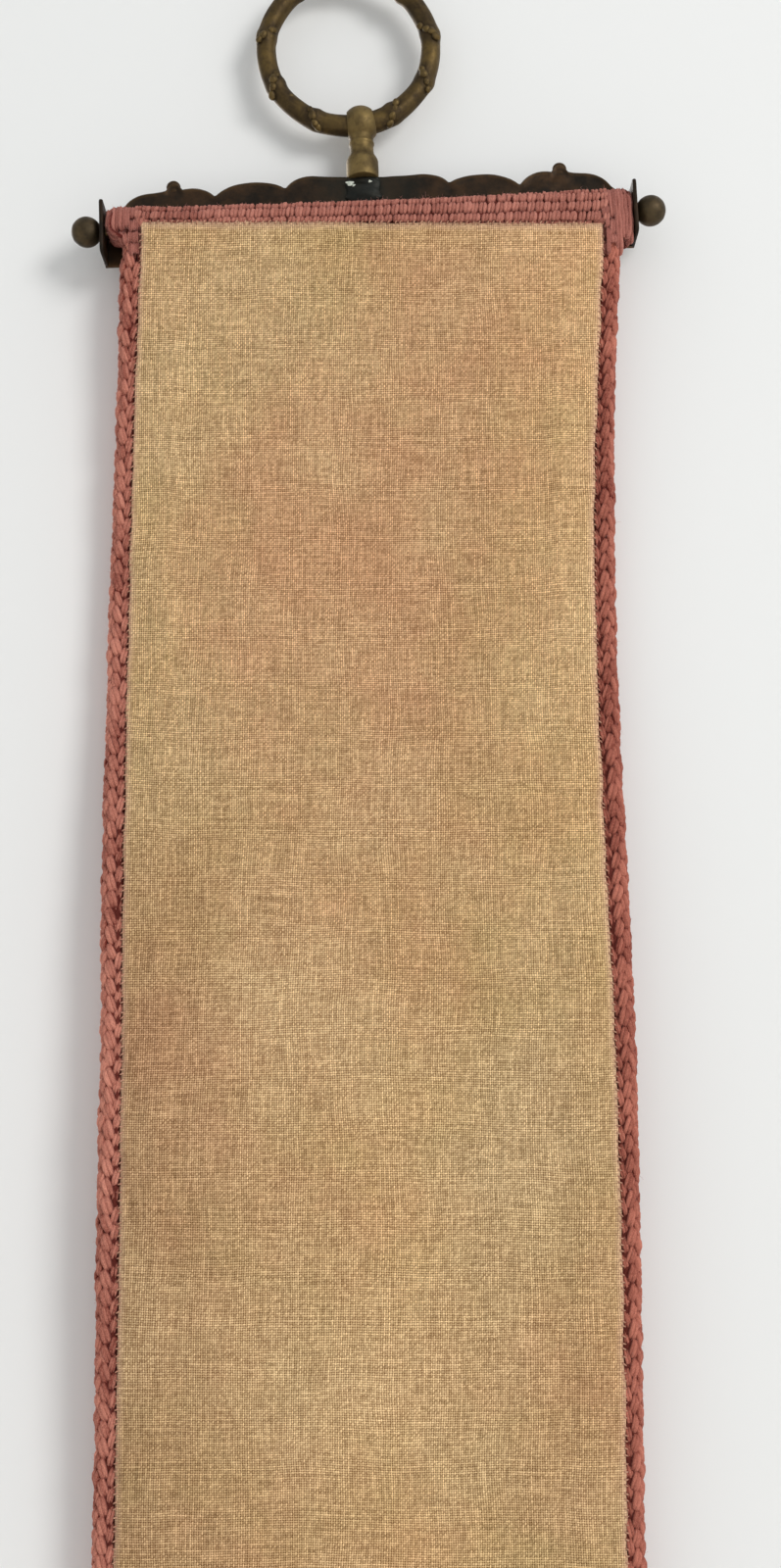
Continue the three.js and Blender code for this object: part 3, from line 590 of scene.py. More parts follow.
def canvas():
    """The canvas under the stitches: the solid's own form, drawn in by most of the wool's thickness."""
    shape = bmesh.new()
    shape.from_mesh(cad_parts["needlepoint_panel"].data)
    bmesh.ops.remove_doubles(shape, verts=shape.verts, dist=0.002 * MM)
    bmesh.ops.recalc_face_normals(shape, faces=shape.faces)
    shape.normal_update()
    points = np.array([v.co for v in shape.verts])
    normals = np.array([v.normal for v in shape.verts])
    triangles = np.array([[v.index for v in face.verts] for face in shape.faces])
    shape.free()
    side = np.minimum(points[:, 0] - at("left", points[:, 2]), at("right", points[:, 2]) - points[:, 0])
    edge = np.minimum(side, points[:, 2] - panel_low.z)
    thick = np.clip((6.2 * MM - edge) / (1.5 * MM), 0, 1)
    thick = np.maximum(thick, np.clip((to_hanger(points)[:, 2] + 3) / 2, 0, 0.35))
    inset = np.maximum(CANVAS_INSET + thick * (EDGE_INSET - CANVAS_INSET), FACE_INSET * (normals[:, 1] > 0.6))
    points = drawn_in(points - normals * inset[:, None])
    looks = {"strand": points[:, [2, 0, 1]] / MM, "tone": 0 * edge, "crown": 0 * edge}
    piece = make_piece("canvas", points, [triangles], CANVAS, looks)
    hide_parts("needlepoint_panel")
    return piece


# ---- plaited edges ----

PLAIT_RINGS = 6
SEAM_GAP = 0.25 * MM  # from the hem to the seam that the plaits are counted from

# Columns of the plait from the lining outwards and round to the face: where each one's middle lies from
# the seam, its width and how far it stands out, in mm, and which way its stitches lean.
PLAIT_COLUMNS = {
    "left": [
        (1.05, 2.1, -0.35, 1), (3.4, 2.95, 0.0, -1), (6.2, 2.8, -0.1, 1), (9.0, 2.6, -0.1, -1),
        (11.5, 2.5, -0.15, 1),
    ],
    "right": [
        (0.75, 1.8, -0.5, 1), (2.75, 2.6, -0.1, -1), (5.2, 2.8, 0.05, 1), (7.8, 2.7, -0.1, -1),
        (10.4, 2.6, -0.1, 1), (12.6, 2.2, -0.2, -1),
    ],
}


def rolled(line, seam, out, s, lift):
    """Points and normals at s from the seam round a wrapped edge, lifted off it.

    line is the edge, seam how far in the hem lies, and out the way out of the cloth.
    """
    flat = seam - SEAM_GAP - ROLL_RADIUS
    angle = np.maximum(s - flat, 0) / ROLL_RADIUS
    inset = ROLL_RADIUS * (1 - np.sin(angle)) + np.maximum(flat - s, 0)
    depth = ROLL_MIDDLE - ROLL_RADIUS * np.cos(angle) + 0.14 * np.maximum(flat - s, 0)
    normal = np.sin(angle)[..., None] * out + np.cos(angle)[..., None] * TO_VIEWER
    return line - inset[..., None] * out - depth[..., None] * TO_VIEWER + lift[..., None] * normal, normal


def plait_strands(yarns, along, columns, surface):
    """Columns of slanted stitches along an edge. surface(along, s, lift) gives points and normals."""
    random = yarns.random
    count = len(along)
    t = np.linspace(0, 1, PLAIT_RINGS)
    ends = np.abs(2 * t - 1)
    for column, (middle, width, rise, slant) in enumerate(columns):
        centre = along + 0.5 * (column % 2) * PLAIT_PITCH + random.normal(0, 0.22 * MM, count)
        length = PLAIT_PITCH * (1.22 + random.normal(0, 0.05, count))
        breadth = width * MM * (0.72 + random.normal(0, 0.1, count))
        plies = 2 + (random.random(count) < 0.35)
        fat = width / 2.6 * (1 + random.normal(0, 0.07, count))
        high = random.normal(0, 0.16 * MM, count)
        for ply in range(3):
            use = ply < plies
            place = (ply - (plies[use] - 1) / 2)[:, None]
            offset = place * (1.08 * MM) * (2 / plies[use] * fat[use])[:, None] * (1 - 0.3 * ends**2)
            run = centre[use, None] - (t - 0.5) * length[use, None] + 0.4 * offset * slant
            s = middle * MM + slant * (t - 0.5) * breadth[use, None] + offset
            lift = (rise - 0.82) * MM + high[use, None] - 1.35 * MM * ends**2.4 - 0.2 * MM * place**2
            point, normal = surface(run, s, lift)
            size = plump(t, 0.58) * (fat[use] * (2 / plies[use]) ** 0.5)[:, None]
            yarns.add(point, normal, 0.86 * MM * size, 0.98 * MM * size, sides=5)


def side_plait(side, name, seed, material):
    """The wrapped edge down one side of the panel."""
    yarns = Yarns(seed)
    edge_name = "left" if side < 0 else "right"
    top, foot = rod_centre[2] - PLAIT_TOP[side], panel_low.z + 0.7 * PLAIT_PITCH

    def surface(z, s, lift):
        edge = at(edge_name, z)
        seam = np.abs(at("hem_" + edge_name, z) - edge)
        return rolled(xyz(edge, at("lie", z), z), seam, (side, 0, 0), s, lift)

    plait_strands(yarns, np.arange(top, foot, -PLAIT_PITCH), PLAIT_COLUMNS[edge_name], surface)
    return yarns.piece(name, material)


def foot_plait():
    """The wrapped edge along the panel's foot."""
    yarns = Yarns(5)
    x = np.arange(panel_low.x + 4 * MM, panel_high.x - 1 * MM, 1.5 * MM)
    x = x[(x > at("left", panel_low.z) + 1.2 * MM) & (x < at("right", panel_low.z) - 1.2 * MM)]
    edge = sections("needlepoint_panel", 0, 2, x)[0][:, 2]
    inner = x[(x > at("hem_left", lining_low.z) + 1 * MM) & (x < at("hem_right", lining_low.z) - 1 * MM)]
    hem = sections("lining", 0, 2, inner)[0][:, 2]

    def surface(place, s, lift):
        foot = np.interp(place, x, edge)
        seam = np.interp(place, inner, hem) - foot
        return rolled(xyz(place, at("lie", panel_low.z), foot), seam, (0, 0, -1), s, lift)

    along = np.arange(x[0] + 1 * MM, x[-1] - 1 * MM, PLAIT_PITCH)
    plait_strands(yarns, along, PLAIT_COLUMNS["left"], surface)
    return yarns.piece("plait_foot", WOOL)


# ---- fold over the rod ----


def around_rod(angle):
    """Directions away from the rod's axis, at angles up from the viewer's side."""
    return np.cos(angle)[..., None] * TO_VIEWER + np.sin(angle)[..., None] * ROD_Z


class FoldSurface:
    """The fold's outer surface by place along the rod and by arc length round it."""

    def __init__(self):
        self.u = np.arange(-79, 80.01, 1.0) * MM
        self.angle = np.radians(np.arange(-66, 243.1, 3.0))
        direction = around_rod(self.angle)
        rows = []
        for axis in rod_centre + self.u[:, None] * ROD_X:
            found = hits(panel_tree, axis + direction * 14 * MM, -direction)
            away = np.einsum("ij,ij->i", found - axis, direction)
            known = away > 0
            rows.append(np.interp(self.angle, self.angle[known], away[known]))
        self.away = smoothed(np.array(rows), 5)
        arc = run_along(self.u[:, None, None] * ROD_X + self.away[..., None] * direction)
        heights = self.away * np.sin(self.angle)
        rising = np.abs(self.angle) < math.pi / 2
        start = [np.interp(BAND_LINE, h[rising], a[rising]) for h, a in zip(heights, arc)]
        self.arc = arc - np.array(start)[:, None]

    def on_row(self, row, s):
        """Points at s up round the fold on these rows of the table."""
        angle = np.array([np.interp(b, self.arc[a], self.angle) for a, b in zip(row, s)])
        away = np.array([np.interp(c, self.angle, self.away[a]) for a, c in zip(row, angle)])
        return rod_centre + self.u[row, None] * ROD_X + away[:, None] * around_rod(angle)

    def at(self, u, s):
        """Points and outward normals at places u along the rod and s up round the fold."""
        u, s = np.broadcast_arrays(u, s)
        shape = (*u.shape, 3)
        u, s = u.ravel(), s.ravel()
        place = np.clip((u - self.u[0]) / (self.u[1] - self.u[0]), 0, len(self.u) - 1.001)
        low = place.astype(int)
        share = (place - low)[:, None]
        point = self.on_row(low, s) * (1 - share) + self.on_row(low + 1, s) * share
        s = s + 0.6 * MM
        further = self.on_row(low, s) * (1 - share) + self.on_row(low + 1, s) * share
        normal = unit(np.cross(ROD_X, unit(further - point)))
        return point.reshape(shape), normal.reshape(shape)


fold = FoldSurface()


def seam_arc(u):
    """Where the lining's top edge crosses the fold, as arc length round it."""
    height = (lining_high.z - 0.25 * MM - rod_centre[2] - ROD_X[2] * u) / math.cos(TILT)
    facing = np.abs(fold.angle) < math.radians(66)
    row = np.clip(np.searchsorted(fold.u, u), 0, len(fold.u) - 1)
    rise = fold.away[row][:, facing] * np.sin(fold.angle[facing])
    return np.array([np.interp(h, r, fold.arc[i, facing]) for h, r, i in zip(height, rise, row)])


def band():
    """Rows of upright stitches round the fold, between its two wrapped ends."""
    yarns = Yarns(11)
    random = yarns.random
    t = np.linspace(0, 1, 8)
    ends = np.abs(2 * t - 1)
    columns = np.arange(-70.4 * MM, 72.6 * MM, BAND_STITCH)
    wave = 0.4 * MM * smoothed(random.normal(0, 1, (len(columns), 8)), 7)
    for row in range(-2, 4):
        u = columns + random.normal(0, 0.14 * MM, len(columns)) + (row % 2) * 0.3 * MM
        line = row * BAND_ROW + BAND_DRIFT * columns
        low = line + wave[:, row + 2] + random.normal(0, 0.16 * MM, len(columns))
        high = line + BAND_ROW + wave[:, row + 3] + 0.1 * MM
        low = np.maximum(low, seam_arc(u) - 0.9 * MM)
        keep = high - low > 1.0 * MM
        count = keep.sum()
        fat = 1 + random.normal(0, 0.09, count)
        for offset in (-0.58 * MM, 0.58 * MM):
            lean = 0.75 * MM + random.normal(0, 0.22 * MM, count)
            s = low[keep, None] + t * (high - low)[keep, None]
            stray = random.normal(0, 0.07 * MM, count)[:, None]
            place = u[keep, None] + offset * (1 - 0.45 * ends**2) + (t - 0.5) * lean[:, None] + stray
            point, normal = fold.at(place, s)
            lift = -0.55 * MM - 0.95 * MM * ends**2.6 + random.normal(0, 0.08 * MM, count)[:, None]
            size = plump(t, 0.5) * fat[:, None]
            yarns.add(point + normal * lift[..., None], normal, 0.76 * MM * size, 0.95 * MM * size, sides=7)
    return yarns.piece("fold_stitches", SHADED_FADED_FOLD_WOOL)


# ---- lining ----


def lining_face():
    """The lining's near side as a grid of points, and how far each lies from the nearest edge."""
    low, high = lining_low, lining_high
    random = np.random.default_rng(41)
    columns = np.concatenate([[0, 0.003, 0.008], np.linspace(0.016, 0.984, 64), [0.992, 0.997, 1]])
    z = high.z - np.linspace(0, 1, 330)[:, None] * (high.z - low.z)
    scallop = 0.18 * MM * np.abs(np.sin(np.pi * z / HEM_PITCH)) ** 0.7 - 0.09 * MM
    uneven = smoothed(random.normal(0, 0.24 * MM, (2, len(z))).T, 3)
    hem_left, hem_right = at("hem_left", z), at("hem_right", z)
    left, right = hem_left - scallop + uneven[:, :1], hem_right + scallop + uneven[:, 1:]
    x = left + columns * (right - left)
    z = np.repeat(z, len(columns), 1)
    inner = np.clip(x, hem_left + 0.3 * MM, hem_right - 0.3 * MM)
    y = smoothed(lining_depth(inner, np.clip(z, low.z + 0.3 * MM, high.z - 0.3 * MM)), 7)
    top_scallop = np.clip(random.normal(0.1, 0.26, len(columns)), -0.35, 0.6) * MM
    z[0] += top_scallop
    z[1] += top_scallop * 0.5
    near = np.minimum(np.minimum(x - left, right - x), np.minimum(high.z - z + 0.2 * MM, z - low.z))
    near = np.maximum(near, 0)
    y = y + 0.45 * MM * bell(near, 0.5 * MM, 1.2)  # the hem rolls under at every edge
    return xyz(x, y, z), near


def lining_cloth():
    """The lining as a thin sheet with its hem rolled under."""
    outer, near = lining_face()
    under = outer + np.array([0, 0.62 * MM, 0])
    rows, columns = near.shape
    width = 2 * columns
    i = np.arange(columns - 1)
    top = np.stack([i, i + 1, width - 2 - i, width - 1 - i], -1)
    foot = np.stack([i + 1, i, width - 1 - i, width - 2 - i], -1) + (rows - 1) * width
    # how near each point lies to the hem, for the linen's painted highlight there
    edge = bell(near, 1.1 * MM)
    edge = np.concatenate([edge, edge[:, ::-1]], axis=1).ravel()
    points = np.concatenate([outer, under[:, ::-1]], axis=1)
    faces = [grid_faces(rows, width), top, foot]
    piece = make_piece("lining_cloth", points, faces, LINEN, {"edge": edge})
    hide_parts("lining")
    return piece


# ---- corners of the fold ----


# Upright strands at the fold's two ends: place along the rod in mm, then the angles round the fold where
# they start and end (0 faces the viewer, 90 up, -90 down), how far they lean, and their width in mm.
CORNER_STRANDS = {
    -1: [
        (-78.9, -24, 215, 0.5, 2.1), (-77.0, -28, 215, 0.5, 2.3), (-75.0, -22, 215, 0.3, 2.1),
        (-73.4, -8, 215, 0.1, 1.5), (-78.0, -84, -20, -0.8, 2.1), (-76.3, -96, -24, -1.0, 2.2),
        (-74.5, -98, -18, -0.9, 2.0), (-72.4, -20, 30, 0.2, 1.2), (-71.3, -18, 34, 0.2, 1.0),
        (-72.8, -56, -12, 0.2, 1.3), (-71.6, -56, -14, 0.1, 1.1), (-72.8, -86, -46, 0.3, 1.3),
        (-71.6, -88, -48, 0.2, 1.1), (-70.6, -18, 34, 0.2, 1.0), (-70.7, -56, -12, 0.1, 1.0),
        (-70.8, -86, -48, 0.2, 1.0), (-72.2, 28, 215, 0.1, 1.4), (-70.9, 30, 215, 0.1, 1.4),
        (-69.7, -18, 20, 0.1, 1.1), (-69.8, -54, -12, 0.1, 1.1), (-69.9, -84, -46, 0.1, 1.1),
    ],
    1: [
        (79.4, -112, 215, 0.0, 1.9), (77.7, -136, 215, -0.2, 2.2), (75.8, -138, 215, -0.2, 2.2),
        (74.2, -14, 215, 0.0, 1.7), (74.0, -58, -8, 0.2, 1.6), (74.1, -98, -48, 0.3, 1.6),
        (74.6, -138, -88, 0.3, 1.7), (72.6, -6, 40, 0.1, 1.3), (72.5, -44, 0, 0.1, 1.3),
        (72.6, -82, -36, 0.2, 1.3), (72.9, -120, -74, 0.2, 1.4), (71.5, -8, 40, 0.1, 1.0),
        (71.4, -46, -4, 0.1, 1.0), (71.5, -84, -40, 0.1, 1.0), (71.9, -118, -78, 0.1, 1.0),
        (72.8, 34, 215, 0.1, 1.5), (70.6, -44, -8, 0.1, 1.0), (70.7, -80, -40, 0.1, 1.0),
        (71.0, -114, -76, 0.1, 1.0),
    ],
}
CORNER_MIDDLE = {-1: -1.0, 1: -3.0}  # mm over the rod's axis, what the strands are wound round


def wound(u, angles, lean, side):
    """A path round an end of the fold, found by rays towards the line that it is wound round."""
    across = u + lean * np.linspace(-0.5, 0.5, len(angles))
    out = xyz(0, -np.cos(np.radians(angles)), np.sin(np.radians(angles)))
    middle = xyz(across, 0, CORNER_MIDDLE[side])
    inwards = unit(to_world(0 * out) - to_world(out))
    found = hits(panel_tree, to_world(middle + 14 * out), inwards)
    away = np.linalg.norm(found - to_world(middle), axis=1)
    found[~(away > 3 * MM)] = np.nan
    found = drawn_in(smoothed(filled(found), 5))
    return found, unit(np.cross(ROD_X, unit(np.gradient(found, axis=0))))


def twisted_pair(yarns, point, normal, width):
    """Two plies side by side along a path on the cloth, their ends drawn in under it."""
    random = yarns.random
    run = run_along(point)
    near = np.minimum(run, run[-1] - run) / (1.3 * width * MM)
    ends = np.clip(1 - near, 0, 1) ** 2
    lift = -0.34 * MM * width - 0.8 * MM * ends + 0.1 * MM * random.random()
    across = unit(np.cross(normal, unit(np.gradient(point, axis=0))))
    for ply in (-1, 1):
        wave = 0.06 * np.sin(run / MM * 0.9 + random.random() * 6)
        shift = ply * (0.24 + wave) * width * MM * (1 - 0.4 * ends)
        size = (1 - 0.5 * ends) * (1 + 0.05 * random.standard_normal())
        path = point + normal * lift[:, None] + across * shift[:, None]
        yarns.add(path[None], normal[None], 0.36 * width * MM * size[None], 0.5 * width * MM * size[None])


def corner(side, name, seed):
    """Overcast wool that covers an end of the fold."""
    yarns = Yarns(seed)
    for u, start, end, lean, width in CORNER_STRANDS[side]:
        rings = max(9, int((end - start) / 9))
        point, normal = wound(u, np.linspace(start, end, rings), lean, side)
        twisted_pair(yarns, point, normal, width)
    height = np.linspace(-11, 7.5, 20)
    for depth in (-3.6, -2.1, -0.6, 0.9, 2.4, 3.9):
        point = hits(panel_tree, to_world(xyz(side * 90.0, depth, height)), -side * ROD_X)
        point = point[side * to_hanger(point)[:, 0] > 76]
        if len(point) > 4:
            normal = np.tile(side * ROD_X, (len(point), 1))
            twisted_pair(yarns, drawn_in(smoothed(point, 5)), normal, 1.9)
    return yarns.piece(name, SHADED_FADED_CORNER_WOOL)


# ---- fuzz ----


def fuzz(name, sources, count, seed):
    """Loose wool fibres that stand out a little from the stitches."""
    yarns = Yarns(seed)
    random = yarns.random
    places, outward = [], []
    for piece in sources:
        mesh = piece.data
        outer = vectors_of(mesh.attributes["strand"].data, "vector")[:, 2] > 0.2
        places.append(vectors_of(mesh.vertices, "co")[outer])
        outward.append(vectors_of(mesh.vertex_normals, "vector")[outer])
    places, outward = np.concatenate(places), np.concatenate(outward)
    chosen = random.choice(len(places), count, replace=False)
    start = places[chosen]
    stray = unit(random.normal(0, 1, (count, 3)))
    length = (random.gamma(4.0, 0.22, count) * MM)[:, None]
    first = unit(0.55 * outward[chosen] + stray)
    second = unit(first + 1.6 * unit(random.normal(0, 1, (count, 3))))
    knee = start + 0.45 * length * first
    paths = np.stack([start - 0.2 * MM * first, knee, knee + 0.55 * length * second], 1)
    normals = np.broadcast_to(unit(np.cross(first, stray + 0.01))[:, None], paths.shape)
    size = np.broadcast_to(np.array([0.036, 0.032, 0.02]) * MM, paths.shape[:2])
    yarns.add(paths, normals, size, size, sides=3)
    return yarns.piece(name, FUZZ)


# ---- worked face ----


def face_places(rows):
    """A place on the worked face for every stitch of these rows."""
    starts = []
    for z in rows:
        low, high = at("left", z) + 3.2 * MM, at("right", z) - 3.2 * MM
        count = round((high - low) / STITCH)
        x = low + (np.arange(count) + 0.5) * (high - low) / count
        starts.append(xyz(x, FAR, z))
    face = hits(panel_tree, np.concatenate(starts), TO_VIEWER)
    return face[~np.isnan(face[:, 0])]


def front_half(name, seed, rows):
    """Plain tent stitches over part of the hidden face, one wool throughout."""
    yarns = Yarns(seed)
    random = yarns.random
    face = face_places(rows)
    count = len(face)
    slope = 0.52 * STITCH * np.array([-1, 0, 1])
    along = np.array([-1, 0, 1])[:, None]
    reach = 1 + 0.06 * random.normal(0, 1, (count, 1, 1))
    centre = face[:, None] + random.normal(0, 0.06 * MM, (count, 1, 3))
    paths = centre + along * slope * reach
    paths[..., 1] -= np.array([0.95, 0.28, 0.95]) * MM
    normals = np.broadcast_to(-TO_VIEWER, paths.shape)
    size = (1 + random.normal(0, 0.06, (count, 1))) * np.array([[0.62, 1.0, 0.62]]) * MM
    yarns.add(paths, normals, size, 0.62 * size, sides=3)
    return yarns.piece(name, FACE_WOOL)


def front_stitches():
    """The two halves of the worked face."""
    rows = np.arange(rod_centre[2] + 1.0 * MM, panel_low.z + 3.4 * MM, -STITCH)
    half = len(rows) // 2
    return [front_half("front_upper", 21, rows[:half]), front_half("front_lower", 22, rows[half:])]


# ---- sewing along the lining ----


def overcast(yarns, hem, away, along):
    """Small stitches over an edge. hem: places on it; away: out over the wool; along: down the edge."""
    random = yarns.random
    count = len(hem)
    out = (np.array([-0.55, -0.2, 0.25, 0.6]) * MM)[:, None]
    drop = (np.array([0.3, -0.14, -0.1, 0.6]) * MM)[:, None]
    lean = random.normal(0.28, 0.12, (count, 1, 1)) * MM * np.linspace(-1, 1, 4)[:, None]
    path = hem[:, None] + out * away - drop * TO_VIEWER + lean * along
    size = (0.17 + 0.04 * random.random((count, 1))) * MM * np.ones((1, 4))
    yarns.add(path, np.broadcast_to(TO_VIEWER, path.shape), size, size, sides=4)


def hem_stitches():
    """The hand sewing that holds the lining to the wool, down both sides and along the top."""
    yarns = Yarns(31)
    right, up = np.array([1, 0, 0]), np.array([0, 0, 1])
    for side, edge in ((-1, "hem_left"), (1, "hem_right")):
        z = np.arange(lining_high.z - 4 * MM, lining_low.z + 3 * MM, -HEM_STITCH)
        z = z + yarns.random.normal(0, 0.25 * MM, len(z))
        depth = lining_depth(at(edge, z) - side * 0.8 * MM, z)
        overcast(yarns, np.column_stack([at(edge, z), depth, z]), side * right, -up)
    x = np.arange(lining_low.x + 5 * MM, lining_high.x - 4 * MM, HEM_STITCH)
    x = x + yarns.random.normal(0, 0.25 * MM, len(x))
    top = np.full(len(x), lining_high.z)
    overcast(yarns, np.column_stack([x, lining_depth(x, top - 0.8 * MM), top]), up, right)
    return yarns.piece("hem_stitches", THREAD, "linen")


# ---- ring ----

RING_CENTRE = np.array(Vector((-math.sin(NAIL_BEARING), 0, -math.cos(NAIL_BEARING))) * RING_INSIDE)

# Knots on the branch: bearing round the ring and which way its swelling and lip face, in degrees
KNOTS = [
    (11, 20), (48, 150), (88, 40), (128, 120), (171, 60), (209, 110), (247, 100), (302, 90), (335, 30),
]
KNOT_BEARINGS = np.array([knot for knot, _ in KNOTS])
EYE_BEARING = 8.8 - 90
VIEW_NEAR, VIEW_UP = 0.89, 0.46  # the photo looks up at the ring from below
BUD_ROWS, BUD_COLUMNS = 11, 15


def turn(degrees):
    """An angle brought within half a turn of nothing."""
    return (degrees + 180) % 360 - 180


def bent_tube(bearing, around, circle, tube):
    """Points of a tube bent round the ring's middle. Angles are in degrees, radii in mm."""
    bearing, around = np.radians(bearing), np.radians(around)
    out = circle + tube * np.cos(around)
    return xyz(out * np.cos(bearing), -tube * np.sin(around), out * np.sin(bearing)) * MM + RING_CENTRE


def branch_tube(bearing, around):
    """The branch's radius in mm: swollen at the eye and the knots, each knot with a sheath's lip."""
    eye = np.maximum(np.cos(np.radians(bearing - EYE_BEARING)), 0) ** 6
    tube = 3.05 + 0.35 * eye + np.zeros_like(around)
    for i, (knot, nub) in enumerate(KNOTS):
        away = turn(bearing - knot)
        facing = (1 + np.cos(np.radians(around - nub))) / 2
        tube = tube + bell(away, 4.0) * (0.2 + 0.35 * facing**2)
        lip = away + 2.2 * np.cos(np.radians(around - nub)) + 1.0 * np.cos(np.radians(2 * around + 70 * i))
        past = np.clip((lip + 3.5) / 7.0, 0, 1)
        tube = tube + 0.1 * past * past * (3 - 2 * past) * np.exp(-np.maximum(lip, 0) / 6.0)
    rough = np.random.default_rng(8).normal(0, 1, (24, 8)).repeat(len(bearing) // 24, 0).repeat(6, 1)
    return tube + 0.07 * smoothed(np.concatenate([rough, rough[:1]]), 41)[:-1]


def branch_ring(buds):
    """The cast branch, bent out a little at its knots, with grime there, and painted shade with grime round
    the buds.
    """
    bearing = np.arange(0, 360, 0.75)[:, None]
    around = np.arange(0, 360, 7.5)[None]
    turns = turn(bearing - KNOT_BEARINGS)
    behind = np.where(turns >= 0, turns, 400).min(1)
    ahead = np.where(turns < 0, turns, -400).max(1)
    middle = np.sin(np.pi * behind / (behind - ahead))[:, None]
    tube = branch_tube(bearing, around)
    points = bent_tube(bearing, around, 25.85 + 0.15 * (1 - middle**2), tube)
    grime = 0.35 * bell(np.abs(turns).min(1), 5.5)[:, None] + 0 * tube
    # painted shade with grime: the branch is darker round each bud, where it meets the branch
    for centre, _, _, size in buds:
        away = np.linalg.norm(points - (centre * MM + RING_CENTRE), axis=2) / MM
        grime = np.maximum(grime, 1.25 * bell(away, 1.75 * size, 4))
    faces = [grid_faces(*tube.shape, round_rows=True)]
    piece = make_piece("branch_ring", points, faces, BRONZE, {"grime": grime.ravel()})
    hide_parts("ring")


def bud_places():
    """The buds of every knot: middle, along its slanting row, out from the branch, and size, in mm."""
    random = np.random.default_rng(19)
    buds = []
    for knot in np.radians(KNOT_BEARINGS):
        facing = math.atan2(VIEW_NEAR, -VIEW_UP * math.sin(knot))
        lean = 1 if math.cos(knot) < 0 else -1

        def place(step):
            bearing = knot + math.radians(lean * 3.1 * step)
            around = facing - math.radians(25) * step
            out = xyz(math.cos(bearing), 0, math.sin(bearing))
            away = out * math.cos(around) + TO_VIEWER * math.sin(around)
            return out * 25.9 + away * 3.3, away

        for step in np.linspace(-1.7, 1.7, 4) + random.normal(0, 0.16, 4):
            centre, away = place(step)
            along = unit(place(step + 0.1)[0] - place(step - 0.1)[0])
            centre = centre + random.normal(0, 0.12, 3)
            buds.append((centre, along, away, 1.3 * (0.8 + 0.4 * random.random())))
    return buds


def ring_buds(buds):
    """Small cast buds piled in a slanting row across the near face of each knot."""
    random = np.random.default_rng(23)
    rise = np.radians(np.linspace(-88, 88, BUD_ROWS))[:, None]
    round_it = np.radians(np.arange(0, 360, 360 / BUD_COLUMNS))[None]
    ball = xyz(np.cos(rise) * np.cos(round_it), np.cos(rise) * np.sin(round_it), np.sin(rise))
    quads = grid_faces(BUD_ROWS, BUD_COLUMNS)[:, [0, 3, 2, 1]]
    start = np.arange(BUD_COLUMNS)[None]
    points, faces = [], []
    for i, (centre, along, away, size) in enumerate(buds):
        lumpy = 1 + 0.05 * np.sin(3 * round_it + 6 * random.random()) * np.cos(rise)
        axes = np.stack([1.08 * along, 0.88 * np.cross(away, along), 0.8 * away])
        points.append((centre + (ball * lumpy[..., None] * size) @ axes) * MM + RING_CENTRE)
        first = i * BUD_ROWS * BUD_COLUMNS
        last = first + (BUD_ROWS - 1) * BUD_COLUMNS
        faces += [quads + first, start[:, ::-1] + first, start + last]
    # painted shade with grime: each bud is darker away from its top, down to where it meets the branch
    grime = np.clip(1.1 - 1.9 * np.maximum(ball[..., 2], 0), 0, 1.1).ravel()
    looks = {"grime": np.tile(grime, len(buds))}
    make_piece("ring_buds", np.concatenate(points), faces, BRONZE, looks)


# ---- stud and finials ----


def lathed(name, profile, segments, matrix, material):
    """A piece turned about its own Z. profile is (radius, height) in mm, from axis to axis."""
    shape = bmesh.new()
    rings = []
    for radius, height in profile:
        turns = [2 * math.pi * i / segments for i in range(segments if radius else 1)]
        ring = [Vector((radius * math.cos(a), radius * math.sin(a), height)) * MM for a in turns]
        rings.append([shape.verts.new(point) for point in ring])
    for low, high in zip(rings, rings[1:]):
        for i in range(segments):
            j = (i + 1) % segments
            corners = (low[i % len(low)], low[j % len(low)], high[j % len(high)], high[i % len(high)])
            shape.faces.new(tuple(dict.fromkeys(corners)))
    shape.transform(hanger @ matrix)
    bmesh.ops.recalc_face_normals(shape, faces=shape.faces)
    mesh = bpy.data.meshes.new(name)
    shape.to_mesh(mesh)
    shape.free()
    mesh.shade_smooth()
    return riding(name, mesh, material)


def finial(side, node):
    """A turned ball with a fine raised band, and a small boss against the ear."""
    radius = FINIAL_RADIUS / MM
    profile = [(0, -4.2), (1.9, -4.2), (2.3, -4.0)]
    for angle in np.radians(np.arange(-58, 88, 5.0)):
        banded = radius * (1 + 0.012 * bell(math.degrees(angle) - 55, 4))
        profile.append((banded * math.cos(angle), banded * math.sin(angle)))
    profile.append((0, radius))
    turned = Matrix.Translation((side * FINIAL_CENTRE, 0, 0)) @ Matrix.Rotation(side * math.pi / 2, 4, "Y")
    ball = lathed(node + "_ball", profile, 48, turned, FINIAL_BRONZE)
    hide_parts(node)


# The stud below its ball, as (radius, height) in mm: wide foot, neck and the neck's bead
STUD_PROFILE = [
    (0, 16.6), (4.2, 16.6), (4.7, 16.9), (4.95, 17.6), (5.0, 19.0), (5.0, 22.2), (4.85, 22.9), (4.5, 23.7),
    (4.0, 24.5), (3.82, 25.1), (3.7, 25.9), (3.66, 27.0), (3.7, 27.8), (3.88, 28.1), (3.95, 28.4),
    (3.9, 28.8), (3.76, 29.1), (3.7, 29.5), (3.72, 30.4),
]


def bore_tool():
    """A ring as thick as the bore, to cut the stud's ball with."""
    bearing = np.arange(0, 360, 2.5)[:, None]
    around = np.arange(0, 360, 11.25)[None]
    points = bent_tube(bearing, around, RING_RADIUS / MM, BORE_RADIUS / MM)
    faces = grid_faces(bearing.size, around.size, round_rows=True)
    mesh = bpy.data.meshes.new("bore")
    mesh.from_pydata(points.reshape(-1, 3).tolist(), [], faces.tolist())
    return added("bore", mesh)


